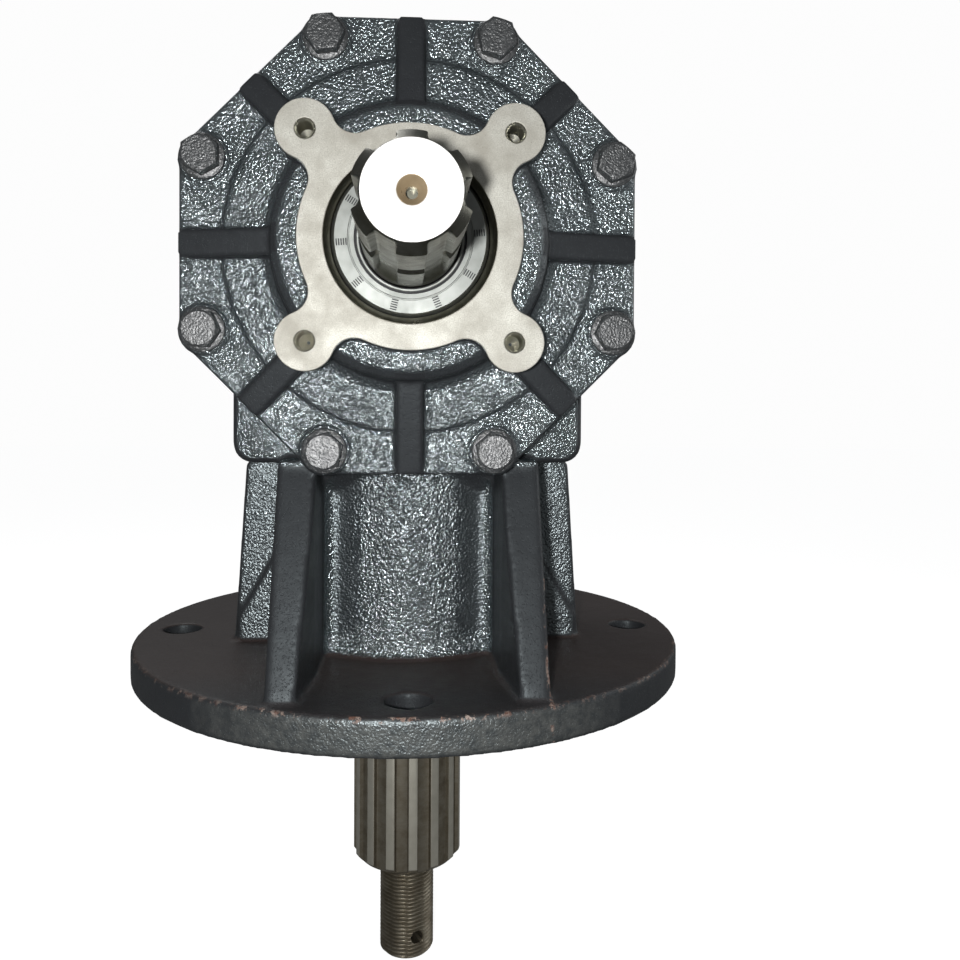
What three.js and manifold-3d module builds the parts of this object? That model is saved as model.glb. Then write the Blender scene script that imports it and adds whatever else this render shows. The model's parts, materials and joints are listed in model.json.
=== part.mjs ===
// A cast-iron right angle bevel gearbox, in millimetres, +Z up.
// The origin is the centre of the mounting flange's underside, on the output shaft's axis.
// The splined input shaft points along -Y and the output shaft hangs down along -Z.
// A crown gear on the input shaft drives a smaller pinion on the output shaft.

import * as THREE from "three";
import { mergeVertices } from "three/addons/utils/BufferGeometryUtils.js";
import Module from "manifold-3d";

const wasm = await Module();
wasm.setup();

// Every piece on the input line is drawn in a frame of its own: X to the right, Y up, Z out of the front
// along the input shaft, with its origin where the two shaft axes cross.
const INPUT_AXIS_HEIGHT = 181;

// Room left between pieces that touch in the real gearbox.
const GAP = 0.3;

// Facets round a full turn.
const FINE = 72;
const MEDIUM = 36;
const INNER = 24;
const COARSE = 16;
const TINY = 10;

// Points closer than this are one point.
const MERGE_DISTANCE = 1e-3;

// Details smaller than this are slivers left by a cut.
const SLIVER_SIZE = 0.02;

// Mounting flange.
const FLANGE_RADIUS = 125;
const FLANGE_THICKNESS = 14.5;
const FLANGE_CHAMFER = 1;
const FLANGE_HOLE_RADIUS = 8.75;
const FLANGE_HOLE_CIRCLE_RADIUS = 106;
const FLANGE_HOLE_COUNT = 4;

// Neck between the flange and the gear chamber.
const NECK_BARREL_RADIUS = 56;
const NECK_BARREL_FLARE = 3.5;
const NECK_BARREL_FLARE_HEIGHT = 4.5;
const NECK_RIB_OUTER_X = 51.8;
const NECK_RIB_ROOT_X = 36;
const NECK_RIB_MIDDLE_X = 36.6;
const NECK_RIB_MIDDLE_Y = 80;
const NECK_RIB_TOE_X = 40.5;
const NECK_RIB_FOOT_Y = 110;
const NECK_RIB_TOE_HEIGHT = 3;
const NECK_RIB_FILLET_RADIUS = 5;
const NECK_RIB_EDGE = 1.5;
const NECK_CORE_RADIUS = 20;
const NECK_SHOULDER_HALF_WIDTH = 38;
const NECK_SHOULDER_HEIGHT = 80;
const NECK_SHOULDER_INNER_Y = 44;
const NECK_SHOULDER_OUTER_Y = 60;
const WING_HALF_THICKNESS = 21;
const WING_TOP_X = 73.2;
const WING_FOOT_X = 78.3;
const WING_POCKET_HALF_WIDTH = 9;
const WING_POCKET_X = 63;
const WING_POCKET_FLOOR = 8;
const WING_POCKET_ROOF = 16;
const GUSSET_RAISE = 2.2;
const GUSSET_INNER_X = 45;
const GUSSET_TOP_HEIGHT = 78;
const GUSSET_OUTER_HEIGHT = 25;

// Gear chamber, measured from the input axis.
const CHAMBER_HALF_WIDTH = 71.4;
const CHAMBER_BOTTOM = 83.7;
const CHAMBER_CORNER_RADIUS = 8;
const CHAMBER_FRONT = 64;
const CHAMBER_REAR = -62;
const CHAMBER_WALL = 8;
const CHAMBER_EDGE = 3;
const REAR_BOSS_RADIUS = 47;
const REAR_BOSS_END = -74;
const REAR_BOSS_INNER_END = -48;
const REAR_RIB_COUNT = 4;

// Octagonal joint between the housing and the front cover.
const OCTAGON_HALF_FLATS = 85.8;
const OCTAGON_CORNER_RADIUS = 9.8;
const HOUSING_FLANGE_BACK = 62.7;
const HOUSING_FLANGE_FRONT = 78.7;
const GASKET_THICKNESS = 0.8;
const OPENING_RADIUS = 64.5;
const SPIGOT_RADIUS = 64;

// Cover bolts.
const COVER_BOLT_COUNT = 8;
const COVER_BOLT_CIRCLE_RADIUS = 83;
const BOLT_RADIUS = 4;
const BOLT_LENGTH = 30;
const BOLT_HEAD_FLATS = 13;
const BOLT_HEAD_HEIGHT = 5.3;
const WASHER_RADIUS = 8.5;
const WASHER_THICKNESS = 1.6;

// Front cover.
const COVER_BACK = HOUSING_FLANGE_FRONT + GAP + GASKET_THICKNESS + GAP;
const COVER_PLATE_FRONT = 91.5;
const COVER_BOSS_FRONT = 92.8;
const COVER_SPIGOT_BACK = 75;
const COVER_STEP_RADIUS = 70;
const COVER_STEP_HEIGHT = 1.8;
const HUB_RADIUS = 50.4;
const HUB_FRONT = 110.3;
const PAD_BACK = 104;
const PAD_FACE = 115.2;
const PAD_RADIUS = 39.9;
const EAR_OFFSET = 36.9;
const EAR_RADIUS = 10.6;
const EAR_FILLET_RADIUS = 8;
const EAR_HOLE_RADIUS = 3.4;
const EAR_HOLE_MOUTH_RADIUS = 4.1;
const EAR_HOLE_DEPTH = 15;
const COVER_RIB_COUNT = 8;
const COVER_RIB_WIDTH = 8;
const COVER_RIB_EDGE = 1.1;
const COVER_RIB_OUTER_HEIGHT = 1.4;
const COVER_RIB_INNER_HEIGHT = 11;

// Input shaft: a six-spline power take-off end of 1 3/8 inch.
const INPUT_SHAFT_END = 189.5;
const INPUT_SPLINE_COUNT = 6;
const INPUT_SPLINE_RADIUS = 17.4;
const INPUT_SPLINE_ROOT_RADIUS = 14.6;
const INPUT_SPLINE_WIDTH = 8.65;
const INPUT_SPLINE_START = 118;
const INPUT_END_RADIUS = 14.1;
const INPUT_GROOVE_FROM_END = 38;
const INPUT_GROOVE_PROFILE_RADIUS = 6.8;
const INPUT_GROOVE_BOTTOM_RADIUS = 14.7;
const INPUT_JOURNAL_RADIUS = 17.5;
const INPUT_COLLAR_RADIUS = 26;
const INPUT_COLLAR_FRONT = 82.4;
const INPUT_COLLAR_BACK = 66.3;
const CROWN_SEAT_RADIUS = 20;
const INPUT_WAIST_RADIUS = 19;
const REAR_JOURNAL_START = -50;
const INPUT_SHAFT_REAR = -68;
const CENTRE_DRILL_RADIUS = 4.2;
const CENTRE_DRILL_CORE_RADIUS = 1.7;
const CENTRE_DRILL_DEPTH = 8;

// Bevel gear pair.
const GEAR_MODULE = 5;
const CROWN_TEETH = 22;
const PINION_TEETH = 15;
const GEAR_FACE_WIDTH = 20;
const PRESSURE_ANGLE = THREE.MathUtils.degToRad(20);
const GEAR_ADDENDUM = GEAR_MODULE;
const GEAR_DEDENDUM = 1.25 * GEAR_MODULE;
const TOOTH_THINNING = 0.3;
const CROWN_PITCH_RADIUS = (GEAR_MODULE * CROWN_TEETH) / 2;
const PINION_PITCH_RADIUS = (GEAR_MODULE * PINION_TEETH) / 2;
const CROWN_BORE_FRONT = 66;
const CROWN_BORE_REAR = 24;
const CROWN_HUB_RADIUS = 32;
const CROWN_WEB_BACK = 53;
const PINION_FACE = 41.2;
const PINION_HUB_END = 72;
const PINION_HUB_RADIUS = 27;

// Keys.
const CROWN_KEY_WIDTH = 12;
const CROWN_KEY_BOTTOM = 15.3;
const CROWN_KEY_TOP = 22.9;
const CROWN_KEY_FRONT = 62;
const CROWN_KEY_REAR = 28;
const PINION_KEY_WIDTH = 10;
const PINION_KEY_BOTTOM = 13.3;
const PINION_KEY_TOP = 20.3;
const PINION_KEY_LOW = 111;
const PINION_KEY_HIGH = 136;

// Output shaft.
const OUTPUT_THREAD_END = -139.5;
const OUTPUT_SPLINE_END = -93;
const OUTPUT_SPLINE_START = -14;
const OUTPUT_SPLINE_COUNT = 15;
const OUTPUT_SPLINE_RADIUS = 25.35;
const OUTPUT_SPLINE_ROOT_RADIUS = 23.4;
const OUTPUT_SPLINE_TIP_WIDTH = 3.7;
const OUTPUT_SPLINE_BASE_WIDTH = 4.7;
const OUTPUT_SPLINE_PHASE = THREE.MathUtils.degToRad(6);
const OUTPUT_THREAD_RADIUS = 12.7;
const OUTPUT_THREAD_DEPTH = 0.9;
const OUTPUT_UNDERCUT_LENGTH = 3;
const OUTPUT_THREAD_CHAMFER = 1.6;
const COTTER_HOLE_RADIUS = 3;
const COTTER_HOLE_HEIGHT = -129.7;
const COTTER_HOLE_TURN = THREE.MathUtils.degToRad(24);
const OUTPUT_JOURNAL_RADIUS = 25;
const OUTPUT_SHOULDER_RADIUS = 29;
const PINION_SEAT_RADIUS = 17.5;
const OUTPUT_NUT_THREAD_RADIUS = 14.7;
const OUTPUT_SHAFT_TOP = 152.5;

// Bearings: bore radius, outer radius and where each one starts and ends along its axis.
const INPUT_BEARING_BORE = INPUT_JOURNAL_RADIUS + GAP;
const INPUT_BEARING_OUTER = 36;
const FRONT_BEARING_START = 82.7;
const FRONT_BEARING_END = 100.7;
const REAR_BEARING_START = -69;
const REAR_BEARING_END = -51.5;
const OUTPUT_BEARING_BORE = OUTPUT_JOURNAL_RADIUS + GAP;
const OUTPUT_BEARING_OUTER = 45;
const UPPER_BEARING_START = 82.3;
const UPPER_BEARING_END = 103.7;
const LOWER_BEARING_START = 13.6;
const LOWER_BEARING_END = 35;
const ROLLER_COUNT = 11;
const BEARING_TAPER = Math.tan(THREE.MathUtils.degToRad(12));

// Seals and retaining rings.
const INPUT_SEAL_RADIUS = 28;
const INPUT_SEAL_FRONT = 113.2;
const INPUT_SEAL_BACK = 104;
const OUTPUT_SEAL_BOTTOM = 1.2;
const OUTPUT_SEAL_TOP = 10.6;
const RING_THICKNESS = 1.8;
const RING_OPENING = THREE.MathUtils.degToRad(24);

// Plugs in the housing wall.
const PLUG_RADIUS = 6;
const PLUG_LENGTH = 10;
const PLUG_HEX_FLATS = 17;
const BREATHER_Y = 12;
const BREATHER_BOSS_TOP = 259;
const LEVEL_PLUG_Y = 24;
const LEVEL_PLUG_HEIGHT = 150;
const LEVEL_BOSS_X = 76;

// Materials.

function castIronPaint() {
  return new THREE.MeshStandardMaterial({ color: 0x2d333a, roughness: 0.5, metalness: 0.35 });
}

function machinedIron() {
  return new THREE.MeshStandardMaterial({ color: 0xb9b1a4, roughness: 0.38, metalness: 0.9 });
}

function shaftSteel() {
  return new THREE.MeshStandardMaterial({ color: 0x8f8983, roughness: 0.28, metalness: 1 });
}

function gearSteel() {
  return new THREE.MeshStandardMaterial({ color: 0x83807c, roughness: 0.34, metalness: 1 });
}

function bearingSteel() {
  return new THREE.MeshStandardMaterial({ color: 0xa9abae, roughness: 0.2, metalness: 1 });
}

function fastenerPaint() {
  return new THREE.MeshStandardMaterial({ color: 0x30353b, roughness: 0.42, metalness: 0.5 });
}

function springSteel() {
  return new THREE.MeshStandardMaterial({ color: 0x4a4a4c, roughness: 0.35, metalness: 0.9 });
}

function sealSteel() {
  return new THREE.MeshStandardMaterial({ color: 0xb4bcc6, roughness: 0.25, metalness: 1 });
}

function sealRubber() {
  return new THREE.MeshStandardMaterial({ color: 0x18181a, roughness: 0.7, metalness: 0 });
}

function gasketPaper() {
  return new THREE.MeshStandardMaterial({ color: 0x4b4740, roughness: 0.9, metalness: 0 });
}

// Solids and geometry.

// A geometry as a manifold-3d solid, ready to be joined or cut.
function solidOf(geometry) {
  const bare = geometry.clone();
  bare.deleteAttribute("normal");
  bare.deleteAttribute("uv");
  const merged = mergeVertices(bare, MERGE_DISTANCE);
  const corners = merged.index.array;
  const triangles = [];
  for (let i = 0; i < corners.length; i += 3) {
    const a = corners[i];
    const b = corners[i + 1];
    const c = corners[i + 2];
    // A lathe makes flat triangles where its profile meets the axis.
    if (a !== b && b !== c && c !== a) triangles.push(a, b, c);
  }
  const mesh = new wasm.Mesh({
    numProp: 3,
    vertProperties: merged.attributes.position.array,
    triVerts: new Uint32Array(triangles),
  });
  return new wasm.Manifold(mesh);
}

function bareGeometryOf(solid) {
  const mesh = solid.getMesh();
  const geometry = new THREE.BufferGeometry();
  geometry.setAttribute("position", new THREE.BufferAttribute(mesh.vertProperties, 3));
  geometry.setIndex(new THREE.BufferAttribute(mesh.triVerts, 1));
  return geometry;
}

// A manifold-3d solid as a three.js geometry, without the slivers that cutting leaves behind.
function geometryOf(solid) {
  const tidy = solidOf(bareGeometryOf(solid)).simplify(SLIVER_SIZE);
  const geometry = bareGeometryOf(tidy);
  geometry.computeVertexNormals();
  return geometry;
}

function joined(geometries) {
  return geometries.map(solidOf).reduce((whole, piece) => whole.add(piece));
}

function cut(solid, geometries) {
  return geometries.map(solidOf).reduce((whole, piece) => whole.subtract(piece), solid);
}

// A closed profile of [radius, height] pairs turned round the Z axis.
function turned(profile, facets) {
  const points = profile.map(([radius, height]) => new THREE.Vector2(radius, height));
  if (THREE.ShapeUtils.isClockWise(points)) points.reverse();
  points.push(points[0].clone());
  return new THREE.LatheGeometry(points, facets).rotateX(Math.PI / 2);
}

// A round bar on the Z axis.
function bar(radius, low, high, facets) {
  const length = high - low;
  return new THREE.CylinderGeometry(radius, radius, length, facets)
    .rotateX(Math.PI / 2)
    .translate(0, 0, low + length / 2);
}

function boxBetween(low, high) {
  const size = low.map((value, i) => high[i] - value);
  const middle = low.map((value, i) => (value + high[i]) / 2);
  return new THREE.BoxGeometry(...size).translate(...middle);
}

// An outline of [x, y] pairs drawn out along Z from low to high, with optional round-cornered edges.
function drawnOut(outline, low, high, edge = 0, edgeSteps = 1) {
  const shape = new THREE.Shape(outline.map(([x, y]) => new THREE.Vector2(x, y)));
  const geometry = new THREE.ExtrudeGeometry(shape, {
    depth: high - low - 2 * edge,
    bevelEnabled: edge > 0,
    bevelThickness: edge,
    bevelSize: edge,
    bevelOffset: -edge,
    bevelSegments: edgeSteps,
  });
  return geometry.translate(0, 0, low + edge);
}

// Points along an arc, both ends included.
function arc(x, y, radius, start, end, steps) {
  const points = [];
  for (let i = 0; i <= steps; i++) {
    const angle = start + ((end - start) * i) / steps;
    points.push([x + radius * Math.cos(angle), y + radius * Math.sin(angle)]);
  }
  return points;
}

// Angles of evenly spaced places round a turn.
function turns(count, first = 0) {
  return Array.from({ length: count }, (_, i) => first + (i * 2 * Math.PI) / count);
}

function hexagon(flats) {
  const radius = flats / Math.sqrt(3);
  return turns(6).map((angle) => [radius * Math.cos(angle), radius * Math.sin(angle)]);
}

// Moves a geometry drawn on the input line to its place in the gearbox.
function ontoInputLine(geometry) {
  return geometry.rotateX(Math.PI / 2).translate(0, 0, INPUT_AXIS_HEIGHT);
}

// The octagon shared by the housing's front flange, the gasket and the cover.
// Its corners swell into round bosses centred on the bolts.
function octagonOutline() {
  const eighth = Math.PI / 4;
  const toFlat = OCTAGON_HALF_FLATS - COVER_BOLT_CIRCLE_RADIUS * Math.cos(eighth / 2);
  const swell = Math.acos(toFlat / OCTAGON_CORNER_RADIUS);
  return turns(COVER_BOLT_COUNT, eighth / 2).flatMap((angle) =>
    arc(
      COVER_BOLT_CIRCLE_RADIUS * Math.cos(angle),
      COVER_BOLT_CIRCLE_RADIUS * Math.sin(angle),
      OCTAGON_CORNER_RADIUS,
      angle - eighth / 2 - swell,
      angle + eighth / 2 + swell,
      5,
    ),
  );
}

// One geometry made by a function at each cover bolt.
function atEachCoverBolt(make) {
  return turns(COVER_BOLT_COUNT, Math.PI / COVER_BOLT_COUNT).map((angle) =>
    make().translate(
      COVER_BOLT_CIRCLE_RADIUS * Math.cos(angle),
      COVER_BOLT_CIRCLE_RADIUS * Math.sin(angle),
      0,
    ),
  );
}

// Housing.

// The gear chamber seen from the front: a round top with straight sides and a flat bottom.
function chamberOutline(halfWidth, bottom, cornerRadius) {
  const cornerX = halfWidth - cornerRadius;
  const cornerY = cornerRadius - bottom;
  return [
    ...arc(0, 0, halfWidth, 0, Math.PI, 20),
    ...arc(-cornerX, cornerY, cornerRadius, Math.PI, 1.5 * Math.PI, 4),
    ...arc(cornerX, cornerY, cornerRadius, 1.5 * Math.PI, 2 * Math.PI, 4),
  ];
}

// Everything in the neck stands in the flange and reaches into the chamber's floor.
const NECK_FOOT = FLANGE_THICKNESS - 1;
const NECK_TOP = INPUT_AXIS_HEIGHT - CHAMBER_BOTTOM + 2;

// A shape drawn as distance along Y against height, made solid between two places along X.
function standingPlate(outline, lowX, highX, edge = 0, edgeSteps = 1) {
  return drawnOut(outline, lowX, highX, edge, edgeSteps)
    .rotateX(Math.PI / 2)
    .rotateZ(Math.PI / 2);
}

// A rib leans back toward the chamber and thins toward its toe. side and facing are 1 or -1 along X and Y.
function neckRib(side, facing) {
  const topY = (facing < 0 ? HOUSING_FLANGE_FRONT : -CHAMBER_REAR) - CHAMBER_EDGE;
  const leaning = [
    [NECK_CORE_RADIUS, NECK_FOOT],
    [NECK_RIB_FOOT_Y, NECK_FOOT],
    [NECK_RIB_FOOT_Y, FLANGE_THICKNESS + NECK_RIB_TOE_HEIGHT],
    [topY, NECK_TOP - CHAMBER_EDGE],
    [topY, NECK_TOP],
    [NECK_CORE_RADIUS, NECK_TOP],
  ].map(([y, z]) => [y * facing, z]);
  const reach = [side * NECK_CORE_RADIUS, side * NECK_RIB_OUTER_X].sort((a, b) => a - b);
  const plate = standingPlate(leaning, reach[0], reach[1], NECK_RIB_EDGE, 2);
  // The fillet touches the rib's inner face and the barrel.
  const filletX = NECK_RIB_ROOT_X - NECK_RIB_FILLET_RADIUS;
  const filletReach = NECK_BARREL_RADIUS + NECK_RIB_FILLET_RADIUS;
  const filletY = Math.sqrt(filletReach ** 2 - filletX ** 2);
  const towardAxis = Math.atan2(filletY, filletX) - Math.PI;
  const footprint = [
    [NECK_RIB_OUTER_X, NECK_CORE_RADIUS],
    [NECK_RIB_OUTER_X, NECK_RIB_FOOT_Y],
    [NECK_RIB_TOE_X, NECK_RIB_FOOT_Y],
    [NECK_RIB_MIDDLE_X, NECK_RIB_MIDDLE_Y],
    ...arc(filletX, filletY, NECK_RIB_FILLET_RADIUS, 0, towardAxis, 4),
    [NECK_CORE_RADIUS, NECK_CORE_RADIUS],
  ].map(([x, y]) => [x * side, y * facing]);
  const column = drawnOut(footprint, NECK_FOOT, NECK_TOP);
  return geometryOf(solidOf(plate).intersect(solidOf(column)));
}

// Where the neck spreads under the chamber, between two ribs.
function neckShoulder(facing) {
  const outline = [
    [NECK_CORE_RADIUS, NECK_SHOULDER_HEIGHT],
    [NECK_SHOULDER_INNER_Y, NECK_SHOULDER_HEIGHT],
    [NECK_SHOULDER_OUTER_Y, NECK_TOP],
    [NECK_CORE_RADIUS, NECK_TOP],
  ].map(([y, z]) => [y * facing, z]);
  return standingPlate(outline, -NECK_SHOULDER_HALF_WIDTH, NECK_SHOULDER_HALF_WIDTH);
}

function wing(side) {
  const outline = [
    [NECK_CORE_RADIUS, NECK_FOOT],
    [WING_FOOT_X, NECK_FOOT],
    [WING_TOP_X, NECK_TOP - 6],
    [CHAMBER_HALF_WIDTH - CHAMBER_EDGE, NECK_TOP],
    [NECK_CORE_RADIUS, NECK_TOP],
  ];
  const flank = [
    [GUSSET_INNER_X, NECK_FOOT],
    [WING_FOOT_X - 1, NECK_FOOT],
    [WING_FOOT_X - 1, GUSSET_OUTER_HEIGHT],
    [GUSSET_INNER_X, GUSSET_TOP_HEIGHT],
  ];
  const body = drawnOut(outline, -WING_HALF_THICKNESS, WING_HALF_THICKNESS, NECK_RIB_EDGE, 2).rotateX(
    Math.PI / 2,
  );
  const reach = WING_HALF_THICKNESS + GUSSET_RAISE;
  const gusset = drawnOut(flank, -reach, reach, GUSSET_RAISE).rotateX(Math.PI / 2);
  const pocket = boxBetween(
    [WING_POCKET_X, -WING_POCKET_HALF_WIDTH, FLANGE_THICKNESS + WING_POCKET_FLOOR],
    [WING_FOOT_X + 5, WING_POCKET_HALF_WIDTH, NECK_TOP - WING_POCKET_ROOF],
  );
  const solid = cut(joined([body, gusset]), [pocket]);
  const geometry = geometryOf(solid);
  return side < 0 ? geometry.rotateZ(Math.PI) : geometry;
}

// The barrel flares out where it meets the flange.
function neckBarrel() {
  return turned(
    [
      [0, NECK_FOOT],
      [NECK_BARREL_RADIUS + NECK_BARREL_FLARE, NECK_FOOT],
      [NECK_BARREL_RADIUS + 0.85 * NECK_BARREL_FLARE, FLANGE_THICKNESS + 0.1 * NECK_BARREL_FLARE_HEIGHT],
      [NECK_BARREL_RADIUS + 0.35 * NECK_BARREL_FLARE, FLANGE_THICKNESS + 0.4 * NECK_BARREL_FLARE_HEIGHT],
      [NECK_BARREL_RADIUS, FLANGE_THICKNESS + NECK_BARREL_FLARE_HEIGHT],
      [NECK_BARREL_RADIUS, NECK_TOP],
      [0, NECK_TOP],
    ],
    MEDIUM,
  );
}

function mountingFlange() {
  const edge = FLANGE_RADIUS - FLANGE_CHAMFER;
  return turned(
    [
      [0, 0],
      [edge, 0],
      [FLANGE_RADIUS, FLANGE_CHAMFER],
      [FLANGE_RADIUS, FLANGE_THICKNESS - FLANGE_CHAMFER],
      [edge, FLANGE_THICKNESS],
      [0, FLANGE_THICKNESS],
    ],
    FINE,
  );
}

// The chamber with the octagonal flange in front and the bearing boss behind, on the input line.
function chamberShell() {
  const box = drawnOut(
    chamberOutline(CHAMBER_HALF_WIDTH, CHAMBER_BOTTOM, CHAMBER_CORNER_RADIUS),
    CHAMBER_REAR,
    CHAMBER_FRONT,
    CHAMBER_EDGE,
    2,
  );
  const octagon = drawnOut(octagonOutline(), HOUSING_FLANGE_BACK, HOUSING_FLANGE_FRONT);
  const boss = turned(
    [
      [0, REAR_BOSS_END],
      [REAR_BOSS_RADIUS - 2, REAR_BOSS_END],
      [REAR_BOSS_RADIUS, REAR_BOSS_END + 2],
      [REAR_BOSS_RADIUS + 1.5, CHAMBER_REAR + 1],
      [0, CHAMBER_REAR + 1],
    ],
    MEDIUM,
  );
  const ribs = turns(REAR_RIB_COUNT, Math.PI / REAR_RIB_COUNT).map((angle) =>
    drawnOut(
      [
        [30, CHAMBER_REAR + 1],
        [68, CHAMBER_REAR + 1],
        [66, CHAMBER_REAR - 2],
        [REAR_BOSS_RADIUS, REAR_BOSS_END + 3],
        [30, REAR_BOSS_END + 3],
      ],
      -5,
      5,
      1,
    )
      .rotateX(Math.PI / 2)
      .rotateZ(angle),
  );
  return joined([box, octagon, boss, ...ribs]);
}

// Everything taken out of the chamber, on the input line.
function chamberCavity() {
  const inside = drawnOut(
    chamberOutline(
      CHAMBER_HALF_WIDTH - CHAMBER_WALL,
      CHAMBER_BOTTOM - CHAMBER_WALL,
      CHAMBER_CORNER_RADIUS,
    ),
    CHAMBER_REAR + CHAMBER_WALL,
    CHAMBER_FRONT - 4,
  );
  const innerBoss = bar(REAR_BOSS_RADIUS - 3, CHAMBER_REAR, REAR_BOSS_INNER_END, MEDIUM);
  const rearBore = turned(
    [
      [0, REAR_BOSS_END - 1],
      [INPUT_BEARING_OUTER + GAP, REAR_BOSS_END - 1],
      [INPUT_BEARING_OUTER + GAP, REAR_BEARING_START - 2.7],
      [INPUT_BEARING_OUTER + 2.4, REAR_BEARING_START - 2.7],
      [INPUT_BEARING_OUTER + 2.4, REAR_BEARING_START - GAP],
      [INPUT_BEARING_OUTER + GAP, REAR_BEARING_START - GAP],
      [INPUT_BEARING_OUTER + GAP, REAR_BEARING_END + GAP],
      [INPUT_BEARING_OUTER - 5, REAR_BEARING_END + GAP],
      [INPUT_BEARING_OUTER - 5, REAR_BOSS_INNER_END + 1],
      [0, REAR_BOSS_INNER_END + 1],
    ],
    INNER,
  );
  const opening = bar(OPENING_RADIUS, CHAMBER_FRONT - 10, HOUSING_FLANGE_FRONT + 1, MEDIUM);
  const boltTip = COVER_BOSS_FRONT + 2 * GAP + WASHER_THICKNESS - BOLT_LENGTH;
  const boltHoles = atEachCoverBolt(() =>
    bar(BOLT_RADIUS + GAP, boltTip - GAP, HOUSING_FLANGE_FRONT + 1, TINY),
  );
  const chamber = cut(solidOf(inside), [innerBoss]);
  return [rearBore, opening, ...boltHoles].map(solidOf).reduce((all, piece) => all.add(piece), chamber);
}

// The stepped bore for the output shaft's bearings, seal and retaining ring.
function outputBore() {
  const shoulder = OUTPUT_BEARING_OUTER - 4;
  const wall = OUTPUT_BEARING_OUTER + GAP;
  const ringTop = LOWER_BEARING_START - GAP;
  const ringBottom = ringTop - RING_THICKNESS - 2 * GAP;
  const floor = INPUT_AXIS_HEIGHT - CHAMBER_BOTTOM + CHAMBER_WALL;
  return turned(
    [
      [0, -1],
      [wall + 1.8, -1],
      [wall, 0.8],
      [wall, ringBottom],
      [wall + 2.4, ringBottom],
      [wall + 2.4, ringTop],
      [wall, ringTop],
      [wall, LOWER_BEARING_END + GAP],
      [shoulder, LOWER_BEARING_END + GAP],
      [shoulder, UPPER_BEARING_START - GAP],
      [wall, UPPER_BEARING_START - GAP],
      [wall, floor + 1],
      [0, floor + 1],
    ],
    INNER,
  );
}

function plugBosses() {
  const breatherBoss = bar(12, INPUT_AXIS_HEIGHT + 60, BREATHER_BOSS_TOP, COARSE).translate(0, BREATHER_Y, 0);
  const levelBoss = bar(12, CHAMBER_HALF_WIDTH - 3, LEVEL_BOSS_X, COARSE)
    .rotateY(Math.PI / 2)
    .translate(0, LEVEL_PLUG_Y, LEVEL_PLUG_HEIGHT);
  return [breatherBoss, levelBoss];
}

function plugHoles() {
  const breatherHole = bar(PLUG_RADIUS + GAP, INPUT_AXIS_HEIGHT + 50, BREATHER_BOSS_TOP + 1, COARSE).translate(
    0,
    BREATHER_Y,
    0,
  );
  const levelHole = bar(PLUG_RADIUS + GAP, CHAMBER_HALF_WIDTH - 15, LEVEL_BOSS_X + 1, COARSE)
    .rotateY(Math.PI / 2)
    .translate(0, LEVEL_PLUG_Y, LEVEL_PLUG_HEIGHT);
  return [breatherHole, levelHole];
}

function makeHousing() {
  const ribs = [-1, 1].flatMap((side) => [-1, 1].map((facing) => neckRib(side, facing)));
  const shoulders = [-1, 1].map(neckShoulder);
  const neck = joined([mountingFlange(), neckBarrel(), wing(-1), wing(1), ...shoulders, ...ribs]);
  const shell = solidOf(ontoInputLine(geometryOf(chamberShell())));
  const cavity = solidOf(ontoInputLine(geometryOf(chamberCavity())));
  const flangeHoles = turns(FLANGE_HOLE_COUNT).map((angle) =>
    bar(FLANGE_HOLE_RADIUS, -1, FLANGE_THICKNESS + 1, COARSE).translate(
      FLANGE_HOLE_CIRCLE_RADIUS * Math.cos(angle),
      FLANGE_HOLE_CIRCLE_RADIUS * Math.sin(angle),
      0,
    ),
  );
  const outside = neck.add(shell).add(joined(plugBosses()));
  return geometryOf(cut(outside.subtract(cavity), [outputBore(), ...flangeHoles, ...plugHoles()]));
}

// Front cover, gasket and fasteners, on the input line.

// A disc with four round ears, with a fillet where each ear leaves the disc.
function padOutline() {
  const earDistance = EAR_OFFSET * Math.SQRT2;
  const toFillet = PAD_RADIUS + EAR_FILLET_RADIUS;
  const earToFillet = EAR_RADIUS + EAR_FILLET_RADIUS;
  // Angle at the disc's centre and at the ear's centre, in the triangle disc, ear, fillet.
  const atDisc = Math.acos(
    (earDistance ** 2 + toFillet ** 2 - earToFillet ** 2) / (2 * earDistance * toFillet),
  );
  const atEar = Math.acos(
    (earDistance ** 2 + earToFillet ** 2 - toFillet ** 2) / (2 * earDistance * earToFillet),
  );
  const fillet = (ear, side) => {
    const direction = ear + side * atDisc;
    const x = toFillet * Math.cos(direction);
    const y = toFillet * Math.sin(direction);
    const towardDisc = direction + Math.PI;
    const towardEar = ear - side * atEar;
    // The arc runs from the ear to the disc after the ear, and from the disc to the ear before it.
    let turn = towardDisc - towardEar;
    while (turn > Math.PI) turn -= 2 * Math.PI;
    while (turn < -Math.PI) turn += 2 * Math.PI;
    const points = arc(x, y, EAR_FILLET_RADIUS, towardEar, towardEar + turn, 4);
    return side > 0 ? points : points.reverse();
  };
  return turns(4, Math.PI / 4).flatMap((ear) => [
    ...fillet(ear, -1),
    ...arc(
      earDistance * Math.cos(ear),
      earDistance * Math.sin(ear),
      EAR_RADIUS,
      ear - Math.PI + atEar,
      ear + Math.PI - atEar,
      10,
    ).slice(1, -1),
    ...fillet(ear, 1),
    ...arc(0, 0, PAD_RADIUS, ear + atDisc, ear + Math.PI / 2 - atDisc, 4).slice(1, -1),
  ]);
}

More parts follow.
